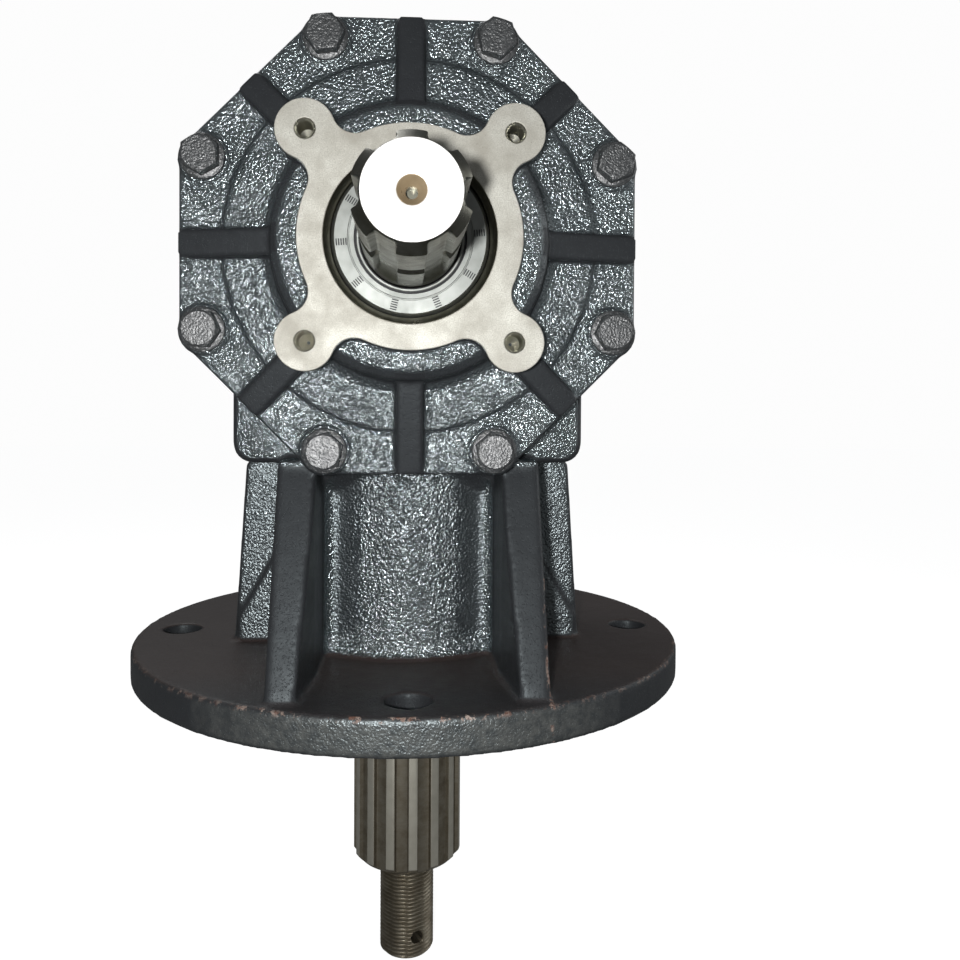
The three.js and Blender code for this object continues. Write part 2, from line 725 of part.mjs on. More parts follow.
function coverRib(angle) {
  return drawnOut(
    [
      [36, COVER_BACK + 4],
      [OCTAGON_HALF_FLATS - 0.2, COVER_BACK + 4],
      [OCTAGON_HALF_FLATS - 0.2, COVER_PLATE_FRONT + COVER_RIB_OUTER_HEIGHT],
      [HUB_RADIUS, COVER_PLATE_FRONT + COVER_RIB_INNER_HEIGHT],
      [36, COVER_PLATE_FRONT + COVER_RIB_INNER_HEIGHT + 1],
    ],
    -COVER_RIB_WIDTH / 2 - COVER_RIB_EDGE,
    COVER_RIB_WIDTH / 2 + COVER_RIB_EDGE,
    COVER_RIB_EDGE,
  )
    .rotateX(Math.PI / 2)
    .rotateZ(angle);
}

function coverHub() {
  const step = COVER_PLATE_FRONT + COVER_STEP_HEIGHT;
  return turned(
    [
      [0, COVER_BACK + 2],
      [COVER_STEP_RADIUS + 0.8, COVER_BACK + 2],
      [COVER_STEP_RADIUS + 0.8, COVER_PLATE_FRONT],
      [COVER_STEP_RADIUS - 1, step],
      [HUB_RADIUS + 4.5, step + 1.2],
      [HUB_RADIUS + 1, step + 4],
      [HUB_RADIUS, HUB_FRONT - 4],
      [HUB_RADIUS - 3.2, HUB_FRONT - 0.6],
      [HUB_RADIUS - 7, HUB_FRONT],
      [0, HUB_FRONT],
    ],
    MEDIUM,
  );
}

// Seal seat, bearing seat and the way through, cut from the front face to the back.
function coverBore() {
  const sealWall = INPUT_SEAL_RADIUS + GAP;
  const bearingWall = INPUT_BEARING_OUTER + GAP;
  return turned(
    [
      [0, COVER_SPIGOT_BACK - 1],
      [bearingWall, COVER_SPIGOT_BACK - 1],
      [bearingWall, FRONT_BEARING_END + GAP],
      [sealWall - 3, FRONT_BEARING_END + GAP],
      [sealWall - 3, INPUT_SEAL_BACK - GAP],
      [sealWall, INPUT_SEAL_BACK - GAP],
      [sealWall, PAD_FACE - 1.9],
      [sealWall + 2.9, PAD_FACE + 1],
      [0, PAD_FACE + 1],
    ],
    MEDIUM,
  );
}

function makeCover() {
  const plate = drawnOut(octagonOutline(), COVER_BACK, COVER_PLATE_FRONT, 0.8);
  const spigot = bar(SPIGOT_RADIUS, COVER_SPIGOT_BACK, COVER_BACK + 1, MEDIUM);
  const pad = drawnOut(padOutline(), PAD_BACK, PAD_FACE, 0.6);
  const bosses = atEachCoverBolt(() => bar(WASHER_RADIUS + 0.7, COVER_BACK + 2, COVER_BOSS_FRONT, COARSE));
  const ribs = turns(COVER_RIB_COUNT).map(coverRib);
  const body = joined([plate, spigot, coverHub(), pad, ...bosses, ...ribs]);
  const boltHoles = atEachCoverBolt(() =>
    bar(BOLT_RADIUS + GAP, COVER_BACK - 1, COVER_BOSS_FRONT + 4, TINY),
  );
  const earHoles = [-1, 1].flatMap((sideX) =>
    [-1, 1].map((sideY) =>
      turned(
        [
          [0, PAD_FACE - EAR_HOLE_DEPTH],
          [EAR_HOLE_RADIUS, PAD_FACE - EAR_HOLE_DEPTH + 2],
          [EAR_HOLE_RADIUS, PAD_FACE - 0.7],
          [EAR_HOLE_MOUTH_RADIUS + 1, PAD_FACE + 1],
          [0, PAD_FACE + 1],
        ],
        TINY,
      ).translate(sideX * EAR_OFFSET, sideY * EAR_OFFSET, 0),
    ),
  );
  return geometryOf(cut(body, [coverBore(), ...boltHoles, ...earHoles]));
}

function makeGasket() {
  const back = HOUSING_FLANGE_FRONT + GAP;
  const sheet = drawnOut(octagonOutline(), back, back + GASKET_THICKNESS);
  const opening = bar(OPENING_RADIUS, back - 1, back + 2, INNER);
  const boltHoles = atEachCoverBolt(() => bar(BOLT_RADIUS + GAP, back - 1, back + 2, TINY));
  return geometryOf(cut(solidOf(sheet), [opening, ...boltHoles]));
}

// A hexagon along Z whose outer face has a rounded-off edge.
function hexHead(flats, low, high) {
  const corner = flats / Math.sqrt(3);
  const limit = turned(
    [
      [0, low - 1],
      [corner + 1, low - 1],
      [corner + 1, high - 1.4],
      [flats / 2 - 0.4, high],
      [0, high],
    ],
    COARSE,
  );
  return solidOf(drawnOut(hexagon(flats), low, high)).intersect(solidOf(limit));
}

function makeCoverBolt() {
  const underHead = COVER_BOSS_FRONT + 2 * GAP + WASHER_THICKNESS;
  const shank = turned(
    [
      [0, underHead - BOLT_LENGTH],
      [BOLT_RADIUS - 0.8, underHead - BOLT_LENGTH],
      [BOLT_RADIUS, underHead - BOLT_LENGTH + 0.8],
      [BOLT_RADIUS, underHead + 1],
      [0, underHead + 1],
    ],
    TINY,
  );
  const head = hexHead(BOLT_HEAD_FLATS, underHead, underHead + BOLT_HEAD_HEIGHT);
  return geometryOf(head.add(solidOf(shank)));
}

function makeWasher() {
  const low = COVER_BOSS_FRONT + GAP;
  return turned(
    [
      [BOLT_RADIUS + GAP, low],
      [WASHER_RADIUS, low],
      [WASHER_RADIUS, low + WASHER_THICKNESS],
      [BOLT_RADIUS + GAP, low + WASHER_THICKNESS],
    ],
    COARSE,
  );
}

// Shafts.

function inputSplineTooth() {
  const half = INPUT_SPLINE_WIDTH / 2;
  return boxBetween(
    [INPUT_SPLINE_ROOT_RADIUS - 4, -half, INPUT_SPLINE_START - 4],
    [INPUT_SPLINE_RADIUS + 1, half, INPUT_SHAFT_END],
  );
}

function makeInputShaft() {
  const core = turned(
    [
      [0, INPUT_SHAFT_REAR],
      [INPUT_JOURNAL_RADIUS - 1, INPUT_SHAFT_REAR],
      [INPUT_JOURNAL_RADIUS, INPUT_SHAFT_REAR + 1],
      [INPUT_JOURNAL_RADIUS, REAR_JOURNAL_START],
      [INPUT_WAIST_RADIUS, REAR_JOURNAL_START],
      [INPUT_WAIST_RADIUS, 16],
      [CROWN_SEAT_RADIUS, 17],
      [CROWN_SEAT_RADIUS, CROWN_BORE_REAR - 2 * GAP - RING_THICKNESS],
      [CROWN_SEAT_RADIUS - 1.4, CROWN_BORE_REAR - 2 * GAP - RING_THICKNESS],
      [CROWN_SEAT_RADIUS - 1.4, CROWN_BORE_REAR],
      [CROWN_SEAT_RADIUS, CROWN_BORE_REAR],
      [CROWN_SEAT_RADIUS, INPUT_COLLAR_BACK],
      [INPUT_COLLAR_RADIUS - 1, INPUT_COLLAR_BACK],
      [INPUT_COLLAR_RADIUS, INPUT_COLLAR_BACK + 1],
      [INPUT_COLLAR_RADIUS, INPUT_COLLAR_FRONT - 6],
      [INPUT_JOURNAL_RADIUS + 4, INPUT_COLLAR_FRONT - 4],
      [INPUT_JOURNAL_RADIUS + 4, INPUT_COLLAR_FRONT],
      [INPUT_JOURNAL_RADIUS, INPUT_COLLAR_FRONT],
      [INPUT_JOURNAL_RADIUS, INPUT_SPLINE_START - 1.5],
      [INPUT_SPLINE_ROOT_RADIUS, INPUT_SPLINE_START + 4],
      [INPUT_SPLINE_ROOT_RADIUS, INPUT_SHAFT_END],
      [0, INPUT_SHAFT_END],
    ],
    MEDIUM,
  );
  const teeth = turns(INPUT_SPLINE_COUNT, Math.PI / 2).map((angle) => inputSplineTooth().rotateZ(angle));
  const envelope = turned(
    [
      [0, INPUT_SHAFT_REAR - 1],
      [INPUT_COLLAR_RADIUS + 1, INPUT_SHAFT_REAR - 1],
      [INPUT_COLLAR_RADIUS + 1, INPUT_COLLAR_FRONT],
      [INPUT_SPLINE_RADIUS + 0.1, INPUT_COLLAR_FRONT + 1],
      [INPUT_SPLINE_RADIUS + 0.1, INPUT_SPLINE_START],
      [INPUT_SPLINE_RADIUS, INPUT_SPLINE_START],
      [INPUT_SPLINE_RADIUS, INPUT_SHAFT_END - 4.2],
      [INPUT_END_RADIUS, INPUT_SHAFT_END],
      [0, INPUT_SHAFT_END],
    ],
    MEDIUM,
  );
  const grooveZ = INPUT_SHAFT_END - INPUT_GROOVE_FROM_END;
  const grooveAxis = INPUT_GROOVE_BOTTOM_RADIUS + INPUT_GROOVE_PROFILE_RADIUS;
  const groove = turned(
    arc(grooveAxis, grooveZ, INPUT_GROOVE_PROFILE_RADIUS, 0, 2 * Math.PI, 14).slice(0, -1),
    MEDIUM,
  );
  const centreDrill = turned(
    [
      [0, INPUT_SHAFT_END - CENTRE_DRILL_DEPTH],
      [CENTRE_DRILL_CORE_RADIUS, INPUT_SHAFT_END - CENTRE_DRILL_DEPTH + 1],
      [CENTRE_DRILL_CORE_RADIUS, INPUT_SHAFT_END - 4.3],
      [CENTRE_DRILL_RADIUS, INPUT_SHAFT_END],
      [CENTRE_DRILL_RADIUS, INPUT_SHAFT_END + 1],
      [0, INPUT_SHAFT_END + 1],
    ],
    COARSE,
  );
  const half = CROWN_KEY_WIDTH / 2 + GAP;
  const keySeat = boxBetween(
    [-half, CROWN_KEY_BOTTOM - GAP, CROWN_KEY_REAR - GAP],
    [half, CROWN_SEAT_RADIUS + 1, CROWN_KEY_FRONT + GAP],
  );
  const body = joined([core, ...teeth]).intersect(solidOf(envelope));
  return geometryOf(cut(body, [groove, centreDrill, keySeat]));
}

// The threaded end, at its full outside size, with the undercut that ends the thread.
function outputThreadProfile() {
  const undercut = OUTPUT_THREAD_RADIUS - OUTPUT_THREAD_DEPTH;
  return [
    [0, OUTPUT_THREAD_END],
    [OUTPUT_THREAD_RADIUS - OUTPUT_THREAD_CHAMFER, OUTPUT_THREAD_END],
    [OUTPUT_THREAD_RADIUS, OUTPUT_THREAD_END + OUTPUT_THREAD_CHAMFER],
    [OUTPUT_THREAD_RADIUS, OUTPUT_SPLINE_END - OUTPUT_UNDERCUT_LENGTH],
    [undercut, OUTPUT_SPLINE_END - OUTPUT_UNDERCUT_LENGTH + OUTPUT_THREAD_DEPTH],
    [undercut, OUTPUT_SPLINE_END + 3],
    [0, OUTPUT_SPLINE_END + 3],
  ];
}

// The toothed outline of the output spline.
function outputSplineOutline() {
  const tip = OUTPUT_SPLINE_TIP_WIDTH / 2 / OUTPUT_SPLINE_RADIUS;
  const base = OUTPUT_SPLINE_BASE_WIDTH / 2 / OUTPUT_SPLINE_ROOT_RADIUS;
  const polar = (radius, angle) => [radius * Math.cos(angle), radius * Math.sin(angle)];
  return turns(OUTPUT_SPLINE_COUNT, OUTPUT_SPLINE_PHASE - Math.PI / 2).flatMap((angle) => [
    polar(OUTPUT_SPLINE_ROOT_RADIUS, angle - base),
    polar(OUTPUT_SPLINE_RADIUS, angle - tip),
    polar(OUTPUT_SPLINE_RADIUS + 0.05, angle),
    polar(OUTPUT_SPLINE_RADIUS, angle + tip),
    polar(OUTPUT_SPLINE_ROOT_RADIUS, angle + base),
  ]);
}

function makeOutputShaft() {
  const spline = solidOf(
    drawnOut(outputSplineOutline(), OUTPUT_SPLINE_END, OUTPUT_SPLINE_START + 4),
  ).intersect(
    solidOf(
      turned(
        [
          [0, OUTPUT_SPLINE_END],
          [OUTPUT_SPLINE_ROOT_RADIUS - 0.4, OUTPUT_SPLINE_END],
          [OUTPUT_SPLINE_RADIUS + 0.3, OUTPUT_SPLINE_END + 2.4],
          [OUTPUT_SPLINE_RADIUS + 0.3, OUTPUT_SPLINE_START - 3],
          [OUTPUT_SPLINE_ROOT_RADIUS - 1, OUTPUT_SPLINE_START + 3],
          [0, OUTPUT_SPLINE_START + 4],
        ],
        MEDIUM,
      ),
    ),
  );
  const pinionSeatFoot = UPPER_BEARING_END + GAP / 2;
  const upper = turned(
    [
      [0, OUTPUT_SPLINE_START - 6],
      [OUTPUT_SPLINE_ROOT_RADIUS - 1, OUTPUT_SPLINE_START - 6],
      [OUTPUT_SPLINE_ROOT_RADIUS - 1, OUTPUT_SPLINE_START],
      [OUTPUT_JOURNAL_RADIUS, OUTPUT_SPLINE_START + 4],
      [OUTPUT_JOURNAL_RADIUS, LOWER_BEARING_END + GAP],
      [OUTPUT_SHOULDER_RADIUS, LOWER_BEARING_END + GAP],
      [OUTPUT_SHOULDER_RADIUS, UPPER_BEARING_START - GAP],
      [OUTPUT_JOURNAL_RADIUS, UPPER_BEARING_START - GAP],
      [OUTPUT_JOURNAL_RADIUS, pinionSeatFoot],
      [PINION_SEAT_RADIUS, pinionSeatFoot],
      [PINION_SEAT_RADIUS, INPUT_AXIS_HEIGHT - PINION_FACE - 3],
      [OUTPUT_NUT_THREAD_RADIUS, INPUT_AXIS_HEIGHT - PINION_FACE - 0.2],
      [OUTPUT_NUT_THREAD_RADIUS, OUTPUT_SHAFT_TOP - 1.5],
      [OUTPUT_NUT_THREAD_RADIUS - 1.5, OUTPUT_SHAFT_TOP],
      [0, OUTPUT_SHAFT_TOP],
    ],
    MEDIUM,
  );
  const cotterHole = bar(COTTER_HOLE_RADIUS, -20, 20, TINY)
    .rotateX(Math.PI / 2)
    .rotateZ(COTTER_HOLE_TURN)
    .translate(0, 0, COTTER_HOLE_HEIGHT);
  const half = PINION_KEY_WIDTH / 2 + GAP;
  const keySeat = boxBetween(
    [-half, PINION_KEY_BOTTOM - GAP, PINION_KEY_LOW - GAP],
    [half, PINION_SEAT_RADIUS + 1, PINION_KEY_HIGH + GAP],
  );
  const thread = turned(outputThreadProfile(), INNER);
  const body = spline.add(solidOf(upper)).add(solidOf(thread));
  return geometryOf(cut(body, [cotterHole, keySeat]));
}

// Gears.

// A straight bevel gear's outline in the plane through its pitch circle, square to its axis.
function bevelOutline(teeth, pitchRadius, planeHeight, firstTooth) {
  const cone = Math.atan2(pitchRadius, planeHeight);
  const virtualRadius = pitchRadius / Math.cos(cone);
  const baseRadius = virtualRadius * Math.cos(PRESSURE_ANGLE);
  const involute = (angle) => Math.tan(angle) - angle;
  // Half of a tooth's angle at a height above the pitch line, and the radius there carried to the plane.
  const halfAngle = (height) => {
    const radius = Math.max(virtualRadius + height, baseRadius);
    const rolled = involute(Math.acos(Math.min(1, baseRadius / radius)));
    const halfThickness = (Math.PI * GEAR_MODULE) / 4 - TOOTH_THINNING / 2;
    return (halfThickness / virtualRadius + involute(PRESSURE_ANGLE) - rolled) / Math.cos(cone);
  };
  const planeRadius = (height) =>
    ((pitchRadius + height * Math.cos(cone)) * planeHeight) / (planeHeight - height * Math.sin(cone));
  const heights = [-GEAR_DEDENDUM, -GEAR_DEDENDUM / 4, GEAR_ADDENDUM / 2, GEAR_ADDENDUM];
  const at = (height, angle) => [
    planeRadius(height) * Math.cos(angle),
    planeRadius(height) * Math.sin(angle),
  ];
  const downward = [...heights].reverse();
  return turns(teeth, firstTooth).flatMap((middle) => [
    ...heights.map((height) => at(height, middle - halfAngle(height))),
    ...downward.map((height) => at(height, middle + halfAngle(height))),
  ]);
}

// The outline drawn out along the axis and narrowed toward the apex at the origin.
function bevelBlank(outline, planeHeight, low, high) {
  const geometry = drawnOut(outline, low, high);
  const position = geometry.attributes.position;
  for (let i = 0; i < position.count; i++) {
    const scale = position.getZ(i) / planeHeight;
    position.setX(i, position.getX(i) * scale);
    position.setY(i, position.getY(i) * scale);
  }
  return geometry;
}

// Corners of the toothed ring's section: tip and root at the large end and at the small end.
function bevelCorners(pitchRadius, planeHeight) {
  const cone = Math.atan2(pitchRadius, planeHeight);
  const coneDistance = Math.hypot(pitchRadius, planeHeight);
  const small = (coneDistance - GEAR_FACE_WIDTH) / coneDistance;
  const corner = (height, scale) => [
    (pitchRadius + height * Math.cos(cone)) * scale,
    (planeHeight - height * Math.sin(cone)) * scale,
  ];
  return {
    tipLarge: corner(GEAR_ADDENDUM, 1),
    rootLarge: corner(-GEAR_DEDENDUM, 1),
    tipSmall: corner(GEAR_ADDENDUM, small),
    rootSmall: corner(-GEAR_DEDENDUM, small),
    heel: corner(-GEAR_DEDENDUM - 4, 1),
  };
}

function makeCrownGear() {
  const plane = PINION_PITCH_RADIUS;
  const corners = bevelCorners(CROWN_PITCH_RADIUS, plane);
  const bore = CROWN_SEAT_RADIUS + GAP;
  const section = turned(
    [
      [bore, CROWN_BORE_REAR],
      [bore + 8.5, CROWN_BORE_REAR],
      [bore + 10.5, CROWN_BORE_REAR + 5],
      corners.rootSmall,
      corners.tipSmall,
      corners.tipLarge,
      corners.heel,
      [corners.heel[0] - 3, CROWN_WEB_BACK],
      [CROWN_HUB_RADIUS, CROWN_WEB_BACK],
      [CROWN_HUB_RADIUS, CROWN_BORE_FRONT - 1],
      [CROWN_HUB_RADIUS - 1, CROWN_BORE_FRONT],
      [bore, CROWN_BORE_FRONT],
    ],
    2 * CROWN_TEETH,
  );
  // A gap between two teeth faces straight down, where the pinion meets it.
  const firstTooth = -Math.PI / 2 + Math.PI / CROWN_TEETH;
  const outline = bevelOutline(CROWN_TEETH, CROWN_PITCH_RADIUS, plane, firstTooth);
  const blank = bevelBlank(outline, plane, CROWN_BORE_REAR - 5, CROWN_BORE_FRONT + 1);
  const half = CROWN_KEY_WIDTH / 2 + GAP;
  const keyway = boxBetween(
    [-half, bore - 4, CROWN_BORE_REAR - 1],
    [half, CROWN_KEY_TOP + GAP, CROWN_BORE_FRONT + 1],
  );
  return geometryOf(cut(solidOf(section).intersect(solidOf(blank)), [keyway]));
}

function makePinion() {
  const plane = CROWN_PITCH_RADIUS;
  const corners = bevelCorners(PINION_PITCH_RADIUS, plane);
  const bore = PINION_SEAT_RADIUS + GAP;
  const section = turned(
    [
      [bore, PINION_FACE],
      [corners.rootSmall[0] - 0.3, PINION_FACE],
      corners.tipSmall,
      corners.tipLarge,
      corners.heel,
      [PINION_HUB_RADIUS, PINION_HUB_END - 4],
      [PINION_HUB_RADIUS, PINION_HUB_END - 1],
      [PINION_HUB_RADIUS - 1, PINION_HUB_END],
      [bore, PINION_HUB_END],
    ],
    2 * PINION_TEETH,
  );
  // Drawn with its apex up and turned over below, which also turns this tooth to the front.
  const outline = bevelOutline(PINION_TEETH, PINION_PITCH_RADIUS, plane, Math.PI / 2);
  const blank = bevelBlank(outline, plane, PINION_FACE - 8, PINION_HUB_END + 1);
  const gear = geometryOf(solidOf(section).intersect(solidOf(blank)))
    .rotateX(Math.PI)
    .translate(0, 0, INPUT_AXIS_HEIGHT);
  const half = PINION_KEY_WIDTH / 2 + GAP;
  const keyway = boxBetween(
    [-half, bore - 4, INPUT_AXIS_HEIGHT - PINION_HUB_END - 1],
    [half, PINION_KEY_TOP + GAP, INPUT_AXIS_HEIGHT - PINION_FACE + 1],
  );
  return geometryOf(cut(solidOf(gear), [keyway]));
}

function makeCrownKey() {
  const half = CROWN_KEY_WIDTH / 2;
  return boxBetween([-half, CROWN_KEY_BOTTOM, CROWN_KEY_REAR], [half, CROWN_KEY_TOP, CROWN_KEY_FRONT]);
}

function makePinionKey() {
  const half = PINION_KEY_WIDTH / 2;
  return boxBetween([-half, PINION_KEY_BOTTOM, PINION_KEY_LOW], [half, PINION_KEY_TOP, PINION_KEY_HIGH]);
}

function makePinionSpacer() {
  const low = UPPER_BEARING_END + GAP;
  const high = INPUT_AXIS_HEIGHT - PINION_HUB_END - GAP;
  return turned(
    [
      [PINION_SEAT_RADIUS + GAP, low],
      [PINION_HUB_RADIUS + 2, low],
      [PINION_HUB_RADIUS + 2, high],
      [PINION_SEAT_RADIUS + GAP, high],
    ],
    INNER,
  );
}

function makePinionNut() {
  const low = INPUT_AXIS_HEIGHT - PINION_FACE + GAP;
  const high = low + 9.5;
  const bore = bar(OUTPUT_NUT_THREAD_RADIUS + GAP, low - 1, high + 1, INNER);
  return geometryOf(cut(hexHead(36, low, high), [bore]));
}

// Bearings.

// One tapered roller bearing, standing on its wide end at the origin.
function bearingSizes(bore, outer, width) {
  const middle = (bore + outer) / 2 + 0.5;
  const roller = (outer - bore) * 0.23;
  const scale = (height) => (middle - (height - width / 2) * BEARING_TAPER) / middle;
  return {
    middle,
    roller,
    scale,
    cupRace: (height) => (middle + roller) * scale(height) + 2 * GAP,
    coneRace: (height) => (middle - roller) * scale(height) - GAP,
  };
}

function makeBearingCup(bore, outer, width) {
  const { cupRace } = bearingSizes(bore, outer, width);
  const low = width * 0.12;
  return turned(
    [
      [cupRace(low), low],
      [outer, low],
      [outer, width],
      [cupRace(width), width],
    ],
    INNER,
  );
}

function makeBearingCone(bore, outer, width) {
  const { coneRace } = bearingSizes(bore, outer, width);
  const rib = width * 0.12;
  const lip = 2.4;
  const end = width * 0.86;
  return turned(
    [
      [bore, 0],
      [coneRace(0) + lip, 0],
      [coneRace(0) + lip, rib],
      [coneRace(rib), rib],
      [coneRace(end), end],
      [bore, end],
    ],
    INNER,
  );
}

// The rollers and their cage as one ring, narrowing upward.
function makeBearingRollers(bore, outer, width) {
  const { middle, roller, scale } = bearingSizes(bore, outer, width);
  const cage = 1.1;
  const low = width * 0.12 + GAP;
  const high = width * 0.82;
  const side = THREE.MathUtils.degToRad(68);
  const pitch = Math.PI / ROLLER_COUNT;
  const around = (radius, start, end, midRadius) =>
    turns(ROLLER_COUNT).flatMap((angle) => [
      ...arc(
        middle * Math.cos(angle),
        middle * Math.sin(angle),
        radius,
        angle + start,
        angle + end,
        3,
      ),
      [midRadius * Math.cos(angle + pitch), midRadius * Math.sin(angle + pitch)],
    ]);
  const outside = around(roller, -side, side, middle + cage);
  const inside = around(roller, Math.PI + side, Math.PI - side, middle - cage);
  const shape = new THREE.Shape(outside.map(([x, y]) => new THREE.Vector2(x, y)));
  shape.holes.push(new THREE.Path(inside.map(([x, y]) => new THREE.Vector2(x, y))));
  const geometry = new THREE.ExtrudeGeometry(shape, { depth: high - low, bevelEnabled: false });
  geometry.translate(0, 0, low);
  const position = geometry.attributes.position;
  for (let i = 0; i < position.count; i++) {
    const factor = scale(position.getZ(i));
    position.setX(i, position.getX(i) * factor);
    position.setY(i, position.getY(i) * factor);
  }
  return geometry;
}

// Seals, rings, cap and plugs.

// A pressed steel shell: a rim wall and a flat face with a hole in the middle, face toward +Z.
function makeSealCase(outer, inner, back, face) {
  const wall = 1;
  return turned(
    [
      [inner, face - wall],
      [outer - wall, face - wall],
      [outer - wall, back],
      [outer, back],
      [outer, face],
      [inner, face],
    ],
    INNER,
  );
}

// The rubber lip inside the shell, with its dust lip toward +Z.
function makeSealLip(shaft, caseInner, back, face) {
  const under = face - 1 - GAP;
  return turned(
    [
      [shaft + GAP, under - 5],
      [caseInner + 2.6, back + 2.4],
      [caseInner + 2.6, under],
      [caseInner - GAP, under],
      [caseInner - GAP, face - 0.2],
      [shaft + GAP, face - 0.4],
      [shaft + 1.1, under - 2.6],
    ],
    INNER,
  );
}

function makeGarterSpring(ringRadius, height) {
  return turned(arc(ringRadius, height, 0.75, 0, 2 * Math.PI, 5).slice(0, -1), INNER);
}

// A flat retaining ring with a gap in it.
function makeRetainingRing(inner, outer, low) {
  const start = Math.PI / 2 + RING_OPENING / 2;
  const end = Math.PI / 2 - RING_OPENING / 2 + 2 * Math.PI;
  const outline = [...arc(0, 0, outer, start, end, 22), ...arc(0, 0, inner, end, start, 22)];
  return drawnOut(outline, low, low + RING_THICKNESS);
}

// A pressed steel cap that closes the rear bore.
function makeRearCap() {
  const low = REAR_BOSS_END + 0.4;
  const rim = INPUT_BEARING_OUTER;
  return turned(
    [
      [0, low + 0.8],
      [rim - 6, low + 0.8],
      [rim - 4, low],
      [rim, low],
      [rim, low + 1.4],
      [rim - 4, low + 1.4],
      [rim - 6, low + 2],
      [0, low + 2],
    ],
    INNER,
  );
}

// A hex plug standing on its seat at the origin, its thread below.
function makePlug(capHeight) {
  const thread = bar(PLUG_RADIUS, -PLUG_LENGTH, 1, COARSE);
  const collar = bar(PLUG_HEX_FLATS / 2 + 1.2, GAP, 2.3, COARSE);
  const hex = hexHead(PLUG_HEX_FLATS, 2, 2 + capHeight);
  return hex.add(solidOf(thread)).add(solidOf(collar));
}

function makeBreather() {
  const cap = turned(
    [
      [0, 8],
      [5, 8],
      [5, 10],
      [8, 10.6],
      [8, 13.6],
      [5.5, 15.6],
      [0, 16.2],
    ],
    COARSE,
  );
  return geometryOf(makePlug(6.5).add(solidOf(cap)));
}

// Assembly.

const gearbox = new THREE.Group();
const inputLine = new THREE.Group();
inputLine.rotation.x = Math.PI / 2;
inputLine.position.z = INPUT_AXIS_HEIGHT;
gearbox.add(inputLine);

function addPiece(parent, name, geometry, material, place = [0, 0, 0]) {
  const mesh = new THREE.Mesh(geometry, material);
  mesh.name = name;
  mesh.position.set(...place);
  parent.add(mesh);
  return mesh;
}

// A bearing's three pieces between two heights; a flipped one has its wide end at the higher one.
function addBearing(parent, name, bore, outer, low, high, flipped) {
  const width = high - low;
  const pieces = [
    ["cup", makeBearingCup(bore, outer, width)],
    ["cone", makeBearingCone(bore, outer, width)],
    ["rollers", makeBearingRollers(bore, outer, width)],
  ];
  for (const [kind, geometry] of pieces) {
    if (flipped) geometry.rotateX(Math.PI);
    addPiece(parent, `${name}_${kind}`, geometry, bearingSteel(), [0, 0, flipped ? high : low]);
  }
}

addPiece(gearbox, "housing", makeHousing(), castIronPaint());
addPiece(inputLine, "front_cover", makeCover(), castIronPaint());
addPiece(inputLine, "cover_gasket", makeGasket(), gasketPaper());

turns(COVER_BOLT_COUNT, Math.PI / COVER_BOLT_COUNT).forEach((angle, i) => {
  const place = [COVER_BOLT_CIRCLE_RADIUS * Math.cos(angle), COVER_BOLT_CIRCLE_RADIUS * Math.sin(angle), 0];
  const bolt = addPiece(inputLine, `cover_bolt_${i + 1}`, makeCoverBolt(), fastenerPaint(), place);
  // Each head stopped at its own angle when it was tightened.
  bolt.rotation.z = 0.35 + i * 0.41;
  addPiece(inputLine, `cover_washer_${i + 1}`, makeWasher(), fastenerPaint(), place);
});

addPiece(inputLine, "input_shaft", makeInputShaft(), shaftSteel());
addPiece(inputLine, "crown_gear", makeCrownGear(), gearSteel());
addPiece(inputLine, "crown_key", makeCrownKey(), gearSteel());
addPiece(
  inputLine,
  "crown_retaining_ring",
  makeRetainingRing(CROWN_SEAT_RADIUS - 1.1, CROWN_SEAT_RADIUS + 3.5, CROWN_BORE_REAR - GAP - RING_THICKNESS),
  springSteel(),
);
addBearing(
  inputLine,
  "front_bearing",
  INPUT_BEARING_BORE,
  INPUT_BEARING_OUTER,
  FRONT_BEARING_START,
  FRONT_BEARING_END,
  false,
);
addBearing(
  inputLine,
  "rear_bearing",
  INPUT_BEARING_BORE,
  INPUT_BEARING_OUTER,
  REAR_BEARING_START,
  REAR_BEARING_END,
  true,
);
addPiece(
  inputLine,
  "input_seal_case",
  makeSealCase(INPUT_SEAL_RADIUS, 20, INPUT_SEAL_BACK, INPUT_SEAL_FRONT),
  sealSteel(),
);
addPiece(
  inputLine,
  "input_seal_lip",
  makeSealLip(INPUT_JOURNAL_RADIUS, 20, INPUT_SEAL_BACK, INPUT_SEAL_FRONT),
  sealRubber(),
);
addPiece(
  inputLine,
  "input_seal_spring",
  makeGarterSpring(INPUT_JOURNAL_RADIUS + 3.1, INPUT_SEAL_BACK + 0.9),
  springSteel(),
);
addPiece(inputLine, "rear_cap", makeRearCap(), springSteel());
addPiece(
  inputLine,
  "rear_retaining_ring",
  makeRetainingRing(
    INPUT_BEARING_OUTER - 4,
    INPUT_BEARING_OUTER + 1.5,
    REAR_BEARING_START - 2 * GAP - RING_THICKNESS,
  ),
  springSteel(),
);

